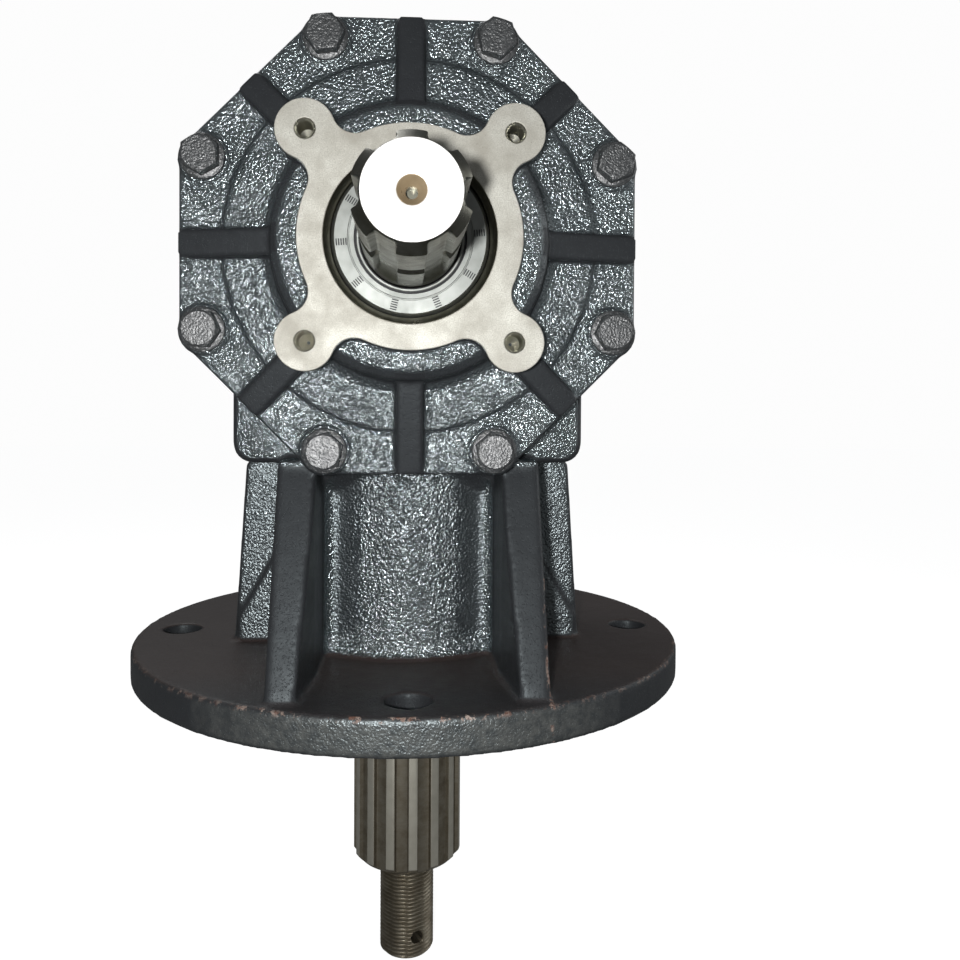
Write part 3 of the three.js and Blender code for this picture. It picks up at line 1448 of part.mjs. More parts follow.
addPiece(gearbox, "output_shaft", makeOutputShaft(), shaftSteel());
addPiece(gearbox, "pinion", makePinion(), gearSteel());
addPiece(gearbox, "pinion_key", makePinionKey(), gearSteel());
addPiece(gearbox, "pinion_spacer", makePinionSpacer(), gearSteel());
addPiece(gearbox, "pinion_nut", makePinionNut(), gearSteel());
addBearing(
  gearbox,
  "upper_bearing",
  OUTPUT_BEARING_BORE,
  OUTPUT_BEARING_OUTER,
  UPPER_BEARING_START,
  UPPER_BEARING_END,
  true,
);
addBearing(
  gearbox,
  "lower_bearing",
  OUTPUT_BEARING_BORE,
  OUTPUT_BEARING_OUTER,
  LOWER_BEARING_START,
  LOWER_BEARING_END,
  false,
);
addPiece(
  gearbox,
  "lower_retaining_ring",
  makeRetainingRing(
    OUTPUT_BEARING_OUTER - 4,
    OUTPUT_BEARING_OUTER + 1.7,
    LOWER_BEARING_START - 2 * GAP - RING_THICKNESS,
  ),
  springSteel(),
);

// The output seal is drawn face up and turned over, so that its face looks down.
const outputSealHeight = OUTPUT_SEAL_TOP - OUTPUT_SEAL_BOTTOM;
for (const [name, geometry, material] of [
  ["output_seal_case", makeSealCase(OUTPUT_BEARING_OUTER, 28, 0, outputSealHeight), sealSteel()],
  ["output_seal_lip", makeSealLip(OUTPUT_JOURNAL_RADIUS, 28, 0, outputSealHeight), sealRubber()],
  ["output_seal_spring", makeGarterSpring(OUTPUT_JOURNAL_RADIUS + 3.1, 0.9), springSteel()],
]) {
  addPiece(gearbox, name, geometry.rotateX(Math.PI), material, [0, 0, OUTPUT_SEAL_TOP]);
}

addPiece(gearbox, "breather_plug", makeBreather(), fastenerPaint(), [0, BREATHER_Y, BREATHER_BOSS_TOP]);
addPiece(
  gearbox,
  "level_plug",
  geometryOf(makePlug(7)).rotateY(Math.PI / 2),
  fastenerPaint(),
  [LEVEL_BOSS_X, LEVEL_PLUG_Y, LEVEL_PLUG_HEIGHT],
);

export default gearbox;
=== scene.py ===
# Looks of a cast-iron right angle bevel gearbox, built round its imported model.
# Shapes are worked out in millimetres and turned into metres as they become meshes.

import json
import math

import bmesh
import bpy
from mathutils import Matrix, Vector


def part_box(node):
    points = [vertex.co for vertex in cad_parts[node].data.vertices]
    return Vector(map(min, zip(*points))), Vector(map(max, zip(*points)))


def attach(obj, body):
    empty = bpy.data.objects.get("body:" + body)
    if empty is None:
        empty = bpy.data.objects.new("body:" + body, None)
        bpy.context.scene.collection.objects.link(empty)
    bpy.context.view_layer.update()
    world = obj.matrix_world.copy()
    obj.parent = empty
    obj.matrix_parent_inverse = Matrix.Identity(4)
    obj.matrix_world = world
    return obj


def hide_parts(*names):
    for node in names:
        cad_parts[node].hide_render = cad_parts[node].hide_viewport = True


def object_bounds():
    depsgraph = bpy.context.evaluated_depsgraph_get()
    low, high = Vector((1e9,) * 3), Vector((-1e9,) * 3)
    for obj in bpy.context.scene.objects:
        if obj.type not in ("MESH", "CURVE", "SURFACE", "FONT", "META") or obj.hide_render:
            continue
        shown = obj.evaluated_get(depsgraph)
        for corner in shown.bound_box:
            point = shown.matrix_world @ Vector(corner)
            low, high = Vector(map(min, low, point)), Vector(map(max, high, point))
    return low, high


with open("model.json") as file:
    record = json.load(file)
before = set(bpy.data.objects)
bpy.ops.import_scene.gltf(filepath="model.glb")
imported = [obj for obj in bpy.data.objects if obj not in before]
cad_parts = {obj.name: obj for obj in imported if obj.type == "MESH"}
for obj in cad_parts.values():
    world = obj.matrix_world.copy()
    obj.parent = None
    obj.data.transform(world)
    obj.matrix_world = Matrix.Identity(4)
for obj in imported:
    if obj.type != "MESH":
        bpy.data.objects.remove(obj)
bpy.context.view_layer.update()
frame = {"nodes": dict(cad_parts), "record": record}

MM = 0.001
TURN = 2 * math.pi

joints = {joint["name"]: joint for joint in frame["record"]["behaviour"]["joints"]}
INPUT_HEIGHT = joints["input_spin"]["pos_m"][2] / MM

# ---------------------------------------------------------------- meshes


def link(obj):
    bpy.context.scene.collection.objects.link(obj)
    return obj


def on_input_line(point):
    """A point drawn as right, up and out of the front, with the shaft axes crossing at the origin."""
    right, up, out = point
    return (right, -out, up + INPUT_HEIGHT)


def as_drawn(point):
    return point


def finish_mesh(mesh, sharp_degrees):
    mesh.shade_smooth()
    mesh.set_sharp_from_angle(angle=math.radians(sharp_degrees))


def weld(mesh, distance):
    """Joins points closer than distance metres and turns the faces outward."""
    work = bmesh.new()
    work.from_mesh(mesh)
    bmesh.ops.remove_doubles(work, verts=work.verts, dist=distance)
    bmesh.ops.recalc_face_normals(work, faces=work.faces)
    work.to_mesh(mesh)
    work.free()


def mesh_piece(name, points, faces, place=as_drawn, sharp_degrees=35):
    """An object from points in millimetres, with its faces turned to point outward."""
    mesh = bpy.data.meshes.new(name)
    mesh.from_pydata([Vector(place(p)) * MM for p in points], [], faces)
    weld(mesh, 1e-7)
    finish_mesh(mesh, sharp_degrees)
    return link(bpy.data.objects.new(name, mesh))


def ring_points(radius, height, count):
    angles = [TURN * j / count for j in range(count)]
    return [(radius * math.cos(angle), radius * math.sin(angle), height) for angle in angles]


def skinned(rings, closed=False):
    """Points and faces of a skin over rings of equal length. An open skin gets a flat cap at each end."""
    count = len(rings[0])
    points = [point for ring in rings for point in ring]
    faces = []
    steps = len(rings) if closed else len(rings) - 1
    for i in range(steps):
        low = i * count
        high = ((i + 1) % len(rings)) * count
        for j in range(count):
            k = (j + 1) % count
            faces.append((low + j, low + k, high + k, high + j))
    if not closed:
        faces.append(tuple(range(count)))
        faces.append(tuple(range(len(points) - count, len(points))))
    return points, faces


def turned(name, profile, facets=128, place=as_drawn, sharp_degrees=35):
    """A closed profile of (radius, height) pairs turned round its axis."""
    rings = [ring_points(radius, height, facets) for radius, height in profile]
    points, faces = skinned(rings, closed=True)
    return mesh_piece(name, points, faces, place, sharp_degrees)


def apply_modifiers(obj):
    evaluated = obj.evaluated_get(bpy.context.evaluated_depsgraph_get())
    mesh = bpy.data.meshes.new_from_object(evaluated)
    obj.modifiers.clear()
    old = obj.data
    obj.data = mesh
    bpy.data.meshes.remove(old)


def copy_of(node, name):
    """A welded copy of a CAD node with its flat faces joined up, ready for shaping."""
    mesh = frame["nodes"][node].data.copy()
    mesh.materials.clear()
    work = bmesh.new()
    work.from_mesh(mesh)
    bmesh.ops.remove_doubles(work, verts=work.verts, dist=2e-6)
    bmesh.ops.dissolve_limit(work, angle_limit=math.radians(0.4), verts=work.verts, edges=work.edges)
    work.to_mesh(mesh)
    work.free()
    return link(bpy.data.objects.new(name, mesh))


def rounded_copy(node, name, edge=0.3, sharp_degrees=35):
    """A copy whose sharp edges are broken by a small round."""
    piece = copy_of(node, name)
    bevel = piece.modifiers.new("Edges", "BEVEL")
    bevel.width = edge * MM
    bevel.segments = 2
    bevel.limit_method = "ANGLE"
    bevel.angle_limit = math.radians(35)
    apply_modifiers(piece)
    finish_mesh(piece.data, sharp_degrees)
    return piece


def casting(node, name, voxel, passes):
    """A copy remade as an even, softened skin, as a sand casting has no sharp edges."""
    piece = copy_of(node, name)
    remesh = piece.modifiers.new("Skin", "REMESH")
    remesh.mode = "VOXEL"
    remesh.voxel_size = voxel * MM
    soften = piece.modifiers.new("Soften", "SMOOTH")
    soften.factor = 0.5
    soften.iterations = passes
    apply_modifiers(piece)
    piece.data.shade_smooth()
    return piece


def vertex_value(piece, attribute, value_at):
    """Stores value_at(point in millimetres, normal) on each vertex for the materials to read."""
    values = piece.data.attributes.new(attribute, "FLOAT", "POINT")
    for vertex, slot in zip(piece.data.vertices, values.data):
        slot.value = value_at(vertex.co / MM, vertex.normal)


def ramp(value, low, high):
    """0 at low and below, 1 at high and above."""
    return min(1.0, max(0.0, (value - low) / (high - low)))


# ---------------------------------------------------------------- materials


class Nodes:
    """Short names for the material nodes used here."""

    def __init__(self, name):
        self.material = bpy.data.materials.new(name)
        self.material.use_nodes = True
        self.tree = self.material.node_tree
        self.shader = self.tree.nodes["Principled BSDF"]
        coordinates = self.tree.nodes.new("ShaderNodeTexCoord")
        self.place = coordinates.outputs["Object"]

    def node(self, kind, inputs=(), **settings):
        node = self.tree.nodes.new("ShaderNode" + kind)
        for key, value in settings.items():
            setattr(node, key, value)
        for key, value in dict(inputs).items():
            self.feed(value, node.inputs[key])
        return node

    def feed(self, value, socket):
        if isinstance(value, bpy.types.NodeSocket):
            self.tree.links.new(value, socket)
        else:
            socket.default_value = value

    def noise(self, size, detail=3.0, roughness=0.55, place=None):
        """Noise whose features are about size millimetres across."""
        inputs = {"Scale": 1 / (size * MM), "Detail": detail, "Roughness": roughness}
        inputs["Vector"] = place or self.place
        return self.node("TexNoise", inputs).outputs["Fac"]

    def cells(self, size, smoothness=0.6):
        inputs = {"Vector": self.place, "Scale": 1 / (size * MM), "Smoothness": smoothness}
        return self.node("TexVoronoi", inputs, feature="SMOOTH_F1").outputs["Distance"]

    def maths(self, operation, a, b=0.0, c=0.0, clamp=False):
        node = self.node("Math", operation=operation, use_clamp=clamp)
        for socket, value in zip(node.inputs, (a, b, c)):
            self.feed(value, socket)
        return node.outputs[0]

    def between(self, value, low, high, new_low=0.0, new_high=1.0):
        inputs = {"Value": value, "From Min": low, "From Max": high, "To Min": new_low, "To Max": new_high}
        return self.node("MapRange", inputs, clamp=True).outputs["Result"]

    def colour(self, factor, a, b):
        node = self.node("Mix", data_type="RGBA")
        self.feed(factor, node.inputs[0])
        for socket, value in ((node.inputs[6], a), (node.inputs[7], b)):
            self.feed(value if isinstance(value, bpy.types.NodeSocket) else (*value, 1.0), socket)
        return node.outputs[2]

    def number(self, factor, a, b):
        node = self.node("Mix", data_type="FLOAT")
        for socket, value in zip((node.inputs[0], node.inputs[2], node.inputs[3]), (factor, a, b)):
            self.feed(value, socket)
        return node.outputs[0]

    def bump(self, height, depth, under=None):
        """Bump whose height of 1 is depth millimetres, on top of the normal under it."""
        inputs = {"Height": height, "Distance": depth * MM, "Strength": 1.0}
        if under:
            inputs["Normal"] = under
        return self.node("Bump", inputs).outputs["Normal"]

    def attribute(self, name):
        return self.node("Attribute", attribute_name=name).outputs["Fac"]

    def along(self, axis):
        """The object coordinate along an axis, in metres."""
        return self.node("SeparateXYZ", {"Vector": self.place}).outputs[axis]

    def set(self, **inputs):
        for key, value in inputs.items():
            name = key.replace("_", " ")
            if isinstance(value, tuple):
                value = (*value, 1.0)
            self.feed(value, self.shader.inputs[name])
        return self.material


PEBBLE_SIZE = 1.2
GRAIN_SIZE = 0.76
SKIN_DEPTH = 0.5
LUMP_DEPTH = 0.2
CHIP_SIZE = 4.2


def cast_paint():
    """Charcoal paint over a sand casting: pebbly where the skin attribute is 0, smooth where it is 1."""
    n = Nodes("cast_paint")
    smooth = n.attribute("skin")
    worn = n.attribute("worn")
    brown = n.attribute("brown")
    rim = n.attribute("rim")
    pebbles = n.cells(PEBBLE_SIZE, 0.25)
    grain = n.noise(GRAIN_SIZE, 1.5, 0.5)
    lumps = n.noise(6.0, 3.0)
    patches = n.noise(11.0, 3.0, 0.6)
    pits = n.between(n.noise(0.8, 2.0, 0.5), 0.33, 0.42)
    height = n.maths("MULTIPLY_ADD", pebbles, -0.8, grain)
    depth = n.number(smooth, n.between(patches, 0.3, 0.6, 0.9, 1.45), 0.05)
    height = n.maths("MULTIPLY", height, depth)
    height = n.maths("MULTIPLY_ADD", n.maths("MULTIPLY", pits, smooth), 0.16, height)
    normal = n.bump(height, SKIN_DEPTH)
    normal = n.bump(lumps, LUMP_DEPTH, normal)
    rough_tone = n.colour(n.between(grain, 0.35, 0.62), (0.012, 0.0145, 0.016), (0.036, 0.043, 0.046))
    smooth_tone = n.colour(n.noise(9.0, 4.0), (0.021, 0.022, 0.0245), (0.034, 0.036, 0.039))
    # Painted highlight: where the rim attribute is 1, the flange's front-facing side gets a paler tone in
    # place of the light that falls there.
    painted_rim_highlight = n.colour(n.between(n.noise(3.5, 5.0, 0.7), 0.38, 0.64), (0.05, 0.052, 0.05), (0.14, 0.14, 0.128))
    smooth_tone = n.colour(rim, smooth_tone, painted_rim_highlight)
    tone = n.colour(smooth, rough_tone, smooth_tone)
    rusty = n.colour(n.noise(12.0, 4.0), (0.04, 0.026, 0.023), (0.056, 0.042, 0.038))
    tone = n.colour(brown, tone, rusty)
    chips = n.between(n.noise(CHIP_SIZE, 5.0, 0.7), 0.54, 0.58)
    bare = n.maths("MULTIPLY", worn, chips, clamp=True)
    rust = n.colour(n.between(n.noise(1.5, 3.0), 0.4, 0.6), (0.16, 0.075, 0.05), (0.42, 0.33, 0.28))
    tone = n.colour(bare, tone, rust)
    rough_gloss = n.between(grain, 0.3, 0.7, 0.24, 0.17)
    smooth_gloss = n.between(lumps, 0.3, 0.7, 0.44, 0.52)
    gloss = n.number(bare, n.number(smooth, rough_gloss, smooth_gloss), 0.6)
    shine = n.number(smooth, 1.0, 0.12)
    n.set(Specular_IOR_Level=shine, IOR=2.25, Specular_Tint=(0.86, 0.97, 1.0))
    return n.set(Base_Color=tone, Roughness=gloss, Normal=normal)


def machined_face():
    """Light machined iron with fine open grain."""
    n = Nodes("machined_face")
    grain = n.noise(0.45, 4.0, 0.7)
    pits = n.between(n.noise(1.1, 3.0, 0.6), 0.24, 0.31)
    cloud = n.between(n.noise(11.0, 4.0, 0.6), 0.3, 0.7)
    tone = n.colour(cloud, (0.42, 0.4, 0.345), (0.66, 0.655, 0.59))
    tone = n.colour(n.between(grain, 0.3, 0.6), (0.36, 0.345, 0.3), tone)
    tone = n.colour(pits, (0.24, 0.225, 0.19), tone)
    normal = n.bump(grain, 0.05)
    gloss = n.between(cloud, 0.0, 1.0, 0.64, 0.54)
    return n.set(Base_Color=tone, Roughness=gloss, Metallic=0.4, Normal=normal)


def turned_steel(name, light, dark, axis):
    """Nodes, colour, roughness and normal of oiled steel with fine marks round its axis and some stains."""
    n = Nodes(name)
    long, short = 0.04, 1.0
    scale = (long, short, long) if axis == "Y" else (long, long, short)
    squeezed = n.node("Mapping", {"Vector": n.place, "Scale": scale}).outputs["Vector"]
    marks = n.noise(0.22, 3.0, 0.6, squeezed)
    stain = n.noise(6.0, 4.0, 0.6)
    tone = n.colour(n.between(stain, 0.35, 0.68), light, dark)
    tone = n.colour(n.between(marks, 0.4, 0.7), tone, n.colour(0.35, tone, dark))
    normal = n.bump(marks, 0.02)
    gloss = n.between(stain, 0.3, 0.7, 0.26, 0.38)
    return n, tone, gloss, normal


def plain_turned(name, light, dark, axis):
    n, tone, gloss, normal = turned_steel(name, light, dark, axis)
    return n.set(Base_Color=tone, Roughness=gloss, Metallic=1.0, Normal=normal)


def faced_steel(name, light, dark, face_at):
    """Shaft steel with a pale, freshly cut end face at face_at and a brown centre drilling in it."""
    n, tone, gloss, normal = turned_steel(name, light, dark, "Y")
    face = n.between(n.along("Y"), -(face_at - 0.25) * MM, -face_at * MM)
    drill_middle = (0.0, -(face_at - 2.0) * MM, INPUT_HEIGHT * MM)
    drill_reach = 4.6 * MM
    offset = n.node("VectorMath", {0: n.place, 1: drill_middle}, operation="DISTANCE").outputs["Value"]
    drill = n.between(offset, drill_reach, drill_reach + 0.15 * MM, 1.0, 0.0)
    streaks = n.noise(7.0, 4.0, 0.55)
    pale = n.colour(n.between(streaks, 0.35, 0.65), (0.84, 0.82, 0.8), (0.7, 0.68, 0.65))
    tone = n.colour(face, tone, pale)
    tone = n.colour(drill, tone, n.colour(streaks, (0.5, 0.4, 0.27), (0.25, 0.19, 0.11)))
    gloss = n.number(face, gloss, 0.5)
    metal = n.number(n.maths("MAXIMUM", face, drill), 1.0, 0.3)
    return n.set(Base_Color=tone, Roughness=gloss, Metallic=metal, Normal=normal)


def tipped_steel(name, light, dark):
    """Spline steel with drier, paler tooth tips where the tip attribute is 1."""
    n, tone, gloss, normal = turned_steel(name, light, dark, "Z")
    tip = n.attribute("tip")
    tone = n.colour(tip, tone, n.colour(n.noise(5.0, 4.0), (0.62, 0.6, 0.52), (0.42, 0.4, 0.33)))
    gloss = n.number(tip, n.maths("ADD", gloss, 0.14), 0.52)
    metal = n.number(tip, 1.0, 0.75)
    return n.set(Base_Color=tone, Roughness=gloss, Metallic=metal, Normal=normal)


def bright_steel(name, light, dark, rough):
    n = Nodes(name)
    fine = n.noise(0.35, 4.0, 0.65)
    cloud = n.noise(5.0, 3.0)
    tone = n.colour(n.between(cloud, 0.3, 0.7), light, dark)
    normal = n.bump(fine, 0.015)
    gloss = n.between(cloud, 0.3, 0.7, rough, rough + 0.05)
    return n.set(Base_Color=tone, Roughness=gloss, Metallic=1.0, Normal=normal)


def painted_steel():
    """Charcoal paint over bolts and washers."""
    n = Nodes("painted_steel")
    fine = n.noise(0.8, 2.0, 0.5)
    cloud = n.noise(4.0, 3.0)
    tone = n.colour(n.between(fine, 0.35, 0.62), (0.02, 0.022, 0.023), (0.05, 0.054, 0.056))
    normal = n.bump(cloud, LUMP_DEPTH, n.bump(fine, 0.34))
    gloss = n.between(cloud, 0.3, 0.7, 0.32, 0.42)
    return n.set(Base_Color=tone, Roughness=gloss, Normal=normal, Specular_IOR_Level=0.7, IOR=1.8)


def soft_black(name, tone_a, tone_b, grain_size):
    n = Nodes(name)
    grain = n.noise(grain_size, 4.0, 0.6)
    tone = n.colour(n.noise(4.0, 2.0), tone_a, tone_b)
    normal = n.bump(grain, 0.03)
    return n.set(Base_Color=tone, Roughness=n.between(grain, 0.3, 0.7, 0.5, 0.75), Normal=normal)


INPUT_END = 189.5

PAINT = cast_paint()
MACHINED = machined_face()
INPUT_STEEL = faced_steel("input_steel", (0.2, 0.2, 0.17), (0.11, 0.108, 0.085), INPUT_END)
OUTPUT_STEEL = tipped_steel("output_steel", (0.4, 0.365, 0.29), (0.22, 0.19, 0.14))
GEAR_STEEL = plain_turned("gear_steel", (0.4, 0.39, 0.38), (0.25, 0.25, 0.25), "Z")
# Seal bore: oiled iron, made darker still as painted shade in the recessed bore mouth.
BORE_IRON_OIL_AND_SHADE = plain_turned("bore_iron_oil_and_shade", (0.3, 0.29, 0.24), (0.17, 0.16, 0.12), "Y")
HOLE_IRON = plain_turned("hole_iron", (0.62, 0.61, 0.54), (0.44, 0.43, 0.37), "Y")
BEARING_STEEL = bright_steel("bearing_steel", (0.62, 0.63, 0.64), (0.5, 0.5, 0.51), 0.14)
SPRING_STEEL = bright_steel("spring_steel", (0.16, 0.16, 0.17), (0.09, 0.09, 0.09), 0.3)
SEAL_STEEL = bright_steel("seal_steel", (0.27, 0.28, 0.265), (0.23, 0.24, 0.225), 0.5)
FASTENER = painted_steel()
RUBBER = soft_black("seal_rubber", (0.012, 0.012, 0.013), (0.03, 0.03, 0.032), 0.5)
FIBRE = soft_black("gasket_fibre", (0.09, 0.08, 0.07), (0.16, 0.15, 0.13), 0.4)

SLOT_MATERIALS = {
    "cast_iron_paint": PAINT,
    "gasket": FIBRE,
    "fastener_paint": FASTENER,
    "shaft_steel": INPUT_STEEL,
    "gear_steel": GEAR_STEEL,
    "bearing_steel": BEARING_STEEL,
    "spring_steel": SPRING_STEEL,
    "seal_steel": SEAL_STEEL,
    "seal_rubber": RUBBER,
}


def dress(piece, material, body, slot, *nodes):
    """Gives a piece its material and the body it moves with, and hides the CAD nodes it stands for. The slot
    is not used.
    """
    piece.data.materials.clear()
    piece.data.materials.append(material)
    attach(piece, body)
    if nodes:
        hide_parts(*nodes)
    return piece


for part in frame["record"]["subparts"]:
    node = frame["nodes"][part["node"]]
    node.data.materials.clear()
    node.data.materials.append(SLOT_MATERIALS[part["material_slot"]])

# ---------------------------------------------------------------- castings

HOUSING_VOXEL = 1.3
COVER_VOXEL = 0.8
FLANGE_TOP = 14.5
FLANGE_RADIUS = 125.0
NECK_TOP = 98.0
NECK_RIB_INNER = 35.4
NECK_RIB_OUTER = 52.4
NECK_RIB_BACK = 24.0
NECK_RIB_TOE = 110.0
NECK_RIB_TOP = 75.7
BARREL_RADIUS = 56.0
COVER_PLATE_FRONT = 91.5
PAD_FACE = 115.2
PAD_THICKNESS = 2.4
SEAL_BORE_RADIUS = 28.3
EAR_OFFSET = 36.9
EAR_HOLE_RADIUS = 3.4
COVER_RIB_HALF_WIDTH = 4.4
EARS = [(sx * EAR_OFFSET, sy * EAR_OFFSET) for sx in (-1, 1) for sy in (-1, 1)]


def on_neck_rib(p):
    """Whether a point is on one of the four leaning ribs of the neck."""
    in_width = NECK_RIB_INNER < abs(p.x) < NECK_RIB_OUTER
    off_barrel = abs(p.y) > NECK_RIB_BACK and math.hypot(p.x, p.y) > BARREL_RADIUS + 1.6
    return in_width and off_barrel and p.z < NECK_TOP


def housing_skin(p, normal):
    """Rough, 0, on flat walls and the barrel. Smooth, 1, on the flange, ribs, edges and fillets."""
    if p.z < FLANGE_TOP + 1.2:
        return 1 - 0.35 * housing_rim_highlight(p, normal)
    if on_neck_rib(p):
        return 1.0
    if math.hypot(p.x, p.y) < BARREL_RADIUS + 6 and p.z < NECK_TOP:
        beside_rib = 0.55 * ramp(abs(p.x), 17, 25) * (1 - ramp(abs(p.x), 30.5, 33.0))
        above_foot = ramp(p.z, 21, 27)
        near_top = 0.4 * ramp(p.z, 80, 92) * ramp(abs(p.x), 8, 26)
        return min(0.85, beside_rib * above_foot + near_top)
    squareness = max(abs(normal.y), math.hypot(normal.x, normal.z))
    on_wing = 0.35 if p.z < NECK_TOP else 0.0
    return max(on_wing, 1 - ramp(squareness, 0.9, 0.97))


def housing_wear(p, normal):
    """Paint is chipped along the flange's upper rim, most at the front and right, and on one rib's edge."""
    radius = math.hypot(p.x, p.y)
    on_edge = ramp(radius, FLANGE_RADIUS - 2.0, FLANGE_RADIUS - 0.5)
    on_edge *= ramp(p.z, FLANGE_TOP - 2.2, FLANGE_TOP - 0.6)
    facing = math.degrees(math.atan2(p.y, p.x))
    amount = 1.0 if -120 < facing < -70 or -40 < facing < 5 else 0.45
    at_front_edge = -103 < facing < -78 and p.z > FLANGE_TOP - 1.4 and radius > FLANGE_RADIUS - 1.6
    worn_line = 0.9 if at_front_edge else 0.0
    rib_front = -NECK_RIB_TOE + (NECK_RIB_TOE - NECK_RIB_TOP) * ramp(p.z, FLANGE_TOP, NECK_TOP)
    at_rib_corner = p.x > NECK_RIB_OUTER - 1.8 and p.y < rib_front + 2.2 and p.z < 66
    rib_edge = 0.85 if on_neck_rib(p) and at_rib_corner else 0.0
    return max(on_edge * amount + worn_line, rib_edge)


def housing_brown(p, normal):
    """The flange's upper face is rusty under thin paint, less so toward the front."""
    if p.z > FLANGE_TOP + 1.5 or normal.z < 0.6:
        return 0.0
    return 1 - 0.7 * ramp(-p.y, 70, 105)


def housing_rim_highlight(p, normal):
    """Painted highlight: a paler tone on the outer side of the flange, where it faces the front and the key
    light.
    """
    on_rim = math.hypot(p.x, p.y) > FLANGE_RADIUS - 1.5 and p.z < FLANGE_TOP
    return ramp(-normal.y, 0.75, 0.98) if on_rim else 0.0


def cover_local(p):
    """Right, up and out of the front, in millimetres."""
    return p.x, p.z - INPUT_HEIGHT, -p.y


def cover_skin(p, normal):
    """0 on the faces that look out of the front, except the tops of the ribs."""
    right, up, out = cover_local(p)
    radius = math.hypot(right, up)
    if out < COVER_PLATE_FRONT - 1.5:
        return 0.9
    angle = math.atan2(up, right)
    off_rib = abs((angle + TURN / 16) % (TURN / 8) - TURN / 16) * radius
    if off_rib < COVER_RIB_HALF_WIDTH + 1.0 and radius > 48 and out > COVER_PLATE_FRONT + 0.9:
        return 1.0
    return 1 - ramp(-normal.y, 0.62, 0.86)


def make_housing():
    piece = casting("housing", "housing_casting", HOUSING_VOXEL, 3)
    vertex_value(piece, "skin", housing_skin)
    vertex_value(piece, "worn", housing_wear)
    vertex_value(piece, "brown", housing_brown)
    # The rim attribute carries the painted highlight on the front-facing side of the flange.
    vertex_value(piece, "rim", housing_rim_highlight)
    dress(piece, PAINT, "gearbox_body", "cast_iron_paint", "housing")


def push_outside(co, centre, radius):
    """Moves a point that lies inside a circle out to it, keeping its depth."""
    right, up, out = cover_local(co)
    dx, dy = right - centre[0], up - centre[1]
    distance = math.hypot(dx, dy)
    if 0 < distance < radius:
        right = centre[0] + dx * radius / distance
        up = centre[1] + dy * radius / distance
    return Vector(on_input_line((right, up, out)))


def make_cover():
    """The cover, cleared out where the machined face, the ear holes and the seal's bore are set in."""
    piece = casting("front_cover", "cover_casting", COVER_VOXEL, 2)
    pad_bed = PAD_FACE - PAD_THICKNESS + 0.6
    ear_holes_start = 98
    seal_bore_start = 103.4
    for vertex in piece.data.vertices:
        co = vertex.co / MM
        out = -co.y
        if out > pad_bed:
            co.y = -pad_bed
        if out > ear_holes_start:
            for ear in EARS:
                co = push_outside(co, ear, EAR_HOLE_RADIUS + 0.9)
        if out > seal_bore_start:
            co = push_outside(co, (0, 0), SEAL_BORE_RADIUS + 0.8)
        vertex.co = co * MM
    vertex_value(piece, "skin", cover_skin)
    dress(piece, PAINT, "gearbox_body", "cast_iron_paint", "front_cover")


# ---------------------------------------------------------------- machined face of the cover

PAD_RADIUS = 39.9
EAR_RADIUS = 10.6
EAR_FILLET = 8.0


def arc(x, y, radius, start, end, steps):
    angles = [start + (end - start) * i / steps for i in range(steps + 1)]
    return [(x + radius * math.cos(angle), y + radius * math.sin(angle)) for angle in angles]


def pad_outline():
    """The disc with four ears and a fillet on each side of every ear."""
    reach = EAR_OFFSET * math.sqrt(2)
    to_fillet = PAD_RADIUS + EAR_FILLET
    ear_to_fillet = EAR_RADIUS + EAR_FILLET
    at_disc = math.acos((reach**2 + to_fillet**2 - ear_to_fillet**2) / (2 * reach * to_fillet))
    at_ear = math.acos((reach**2 + ear_to_fillet**2 - to_fillet**2) / (2 * reach * ear_to_fillet))

    def fillet(toward, start, end):
        return arc(to_fillet * math.cos(toward), to_fillet * math.sin(toward), EAR_FILLET, start, end, 12)

    points = []
    for i in range(4):
        ear = TURN / 8 + i * TURN / 4
        before = ear - at_disc
        after = ear + at_disc
        x, y = reach * math.cos(ear), reach * math.sin(ear)
        points += fillet(before, before + math.pi, ear + at_ear)
        points += arc(x, y, EAR_RADIUS, ear - math.pi + at_ear, ear + math.pi - at_ear, 40)[1:-1]
        points += fillet(after, ear - at_ear, after - math.pi)
        points += arc(0, 0, PAD_RADIUS, after, ear + TURN / 4 - at_disc, 16)[1:-1]
    return points


def flat_plate(name, outlines, low, high, edge, place):
    """A plate of the first outline with the others cut out of it, its edges broken by edge."""
    curve = bpy.data.curves.new(name, "CURVE")
    curve.dimensions = "2D"
    curve.fill_mode = "BOTH"
    curve.extrude = (high - low) / 2 - edge
    curve.bevel_depth = edge
    curve.bevel_resolution = 1
    curve.offset = -edge
    for outline in outlines:
        spline = curve.splines.new("POLY")
        spline.points.add(len(outline) - 1)
        for point, (x, y) in zip(spline.points, outline):
            point.co = (x, y, 0, 1)
        spline.use_cyclic_u = True
    flat = link(bpy.data.objects.new(name + "_curve", curve))
    evaluated = flat.evaluated_get(bpy.context.evaluated_depsgraph_get())
    mesh = bpy.data.meshes.new_from_object(evaluated)
    mesh.name = name
    bpy.data.objects.remove(flat)
    middle = (low + high) / 2
    for vertex in mesh.vertices:
        x, y, z = vertex.co
        vertex.co = Vector(place((x, y, z + middle))) * MM
    weld(mesh, 1e-6)
    finish_mesh(mesh, 30)
    for face in mesh.polygons:
        face.use_smooth = len(face.vertices) == 4 and abs(face.normal.y) < 0.99
    return link(bpy.data.objects.new(name, mesh))


def circle(x, y, radius, facets):
    return arc(x, y, radius, 0, TURN, facets)[:-1]


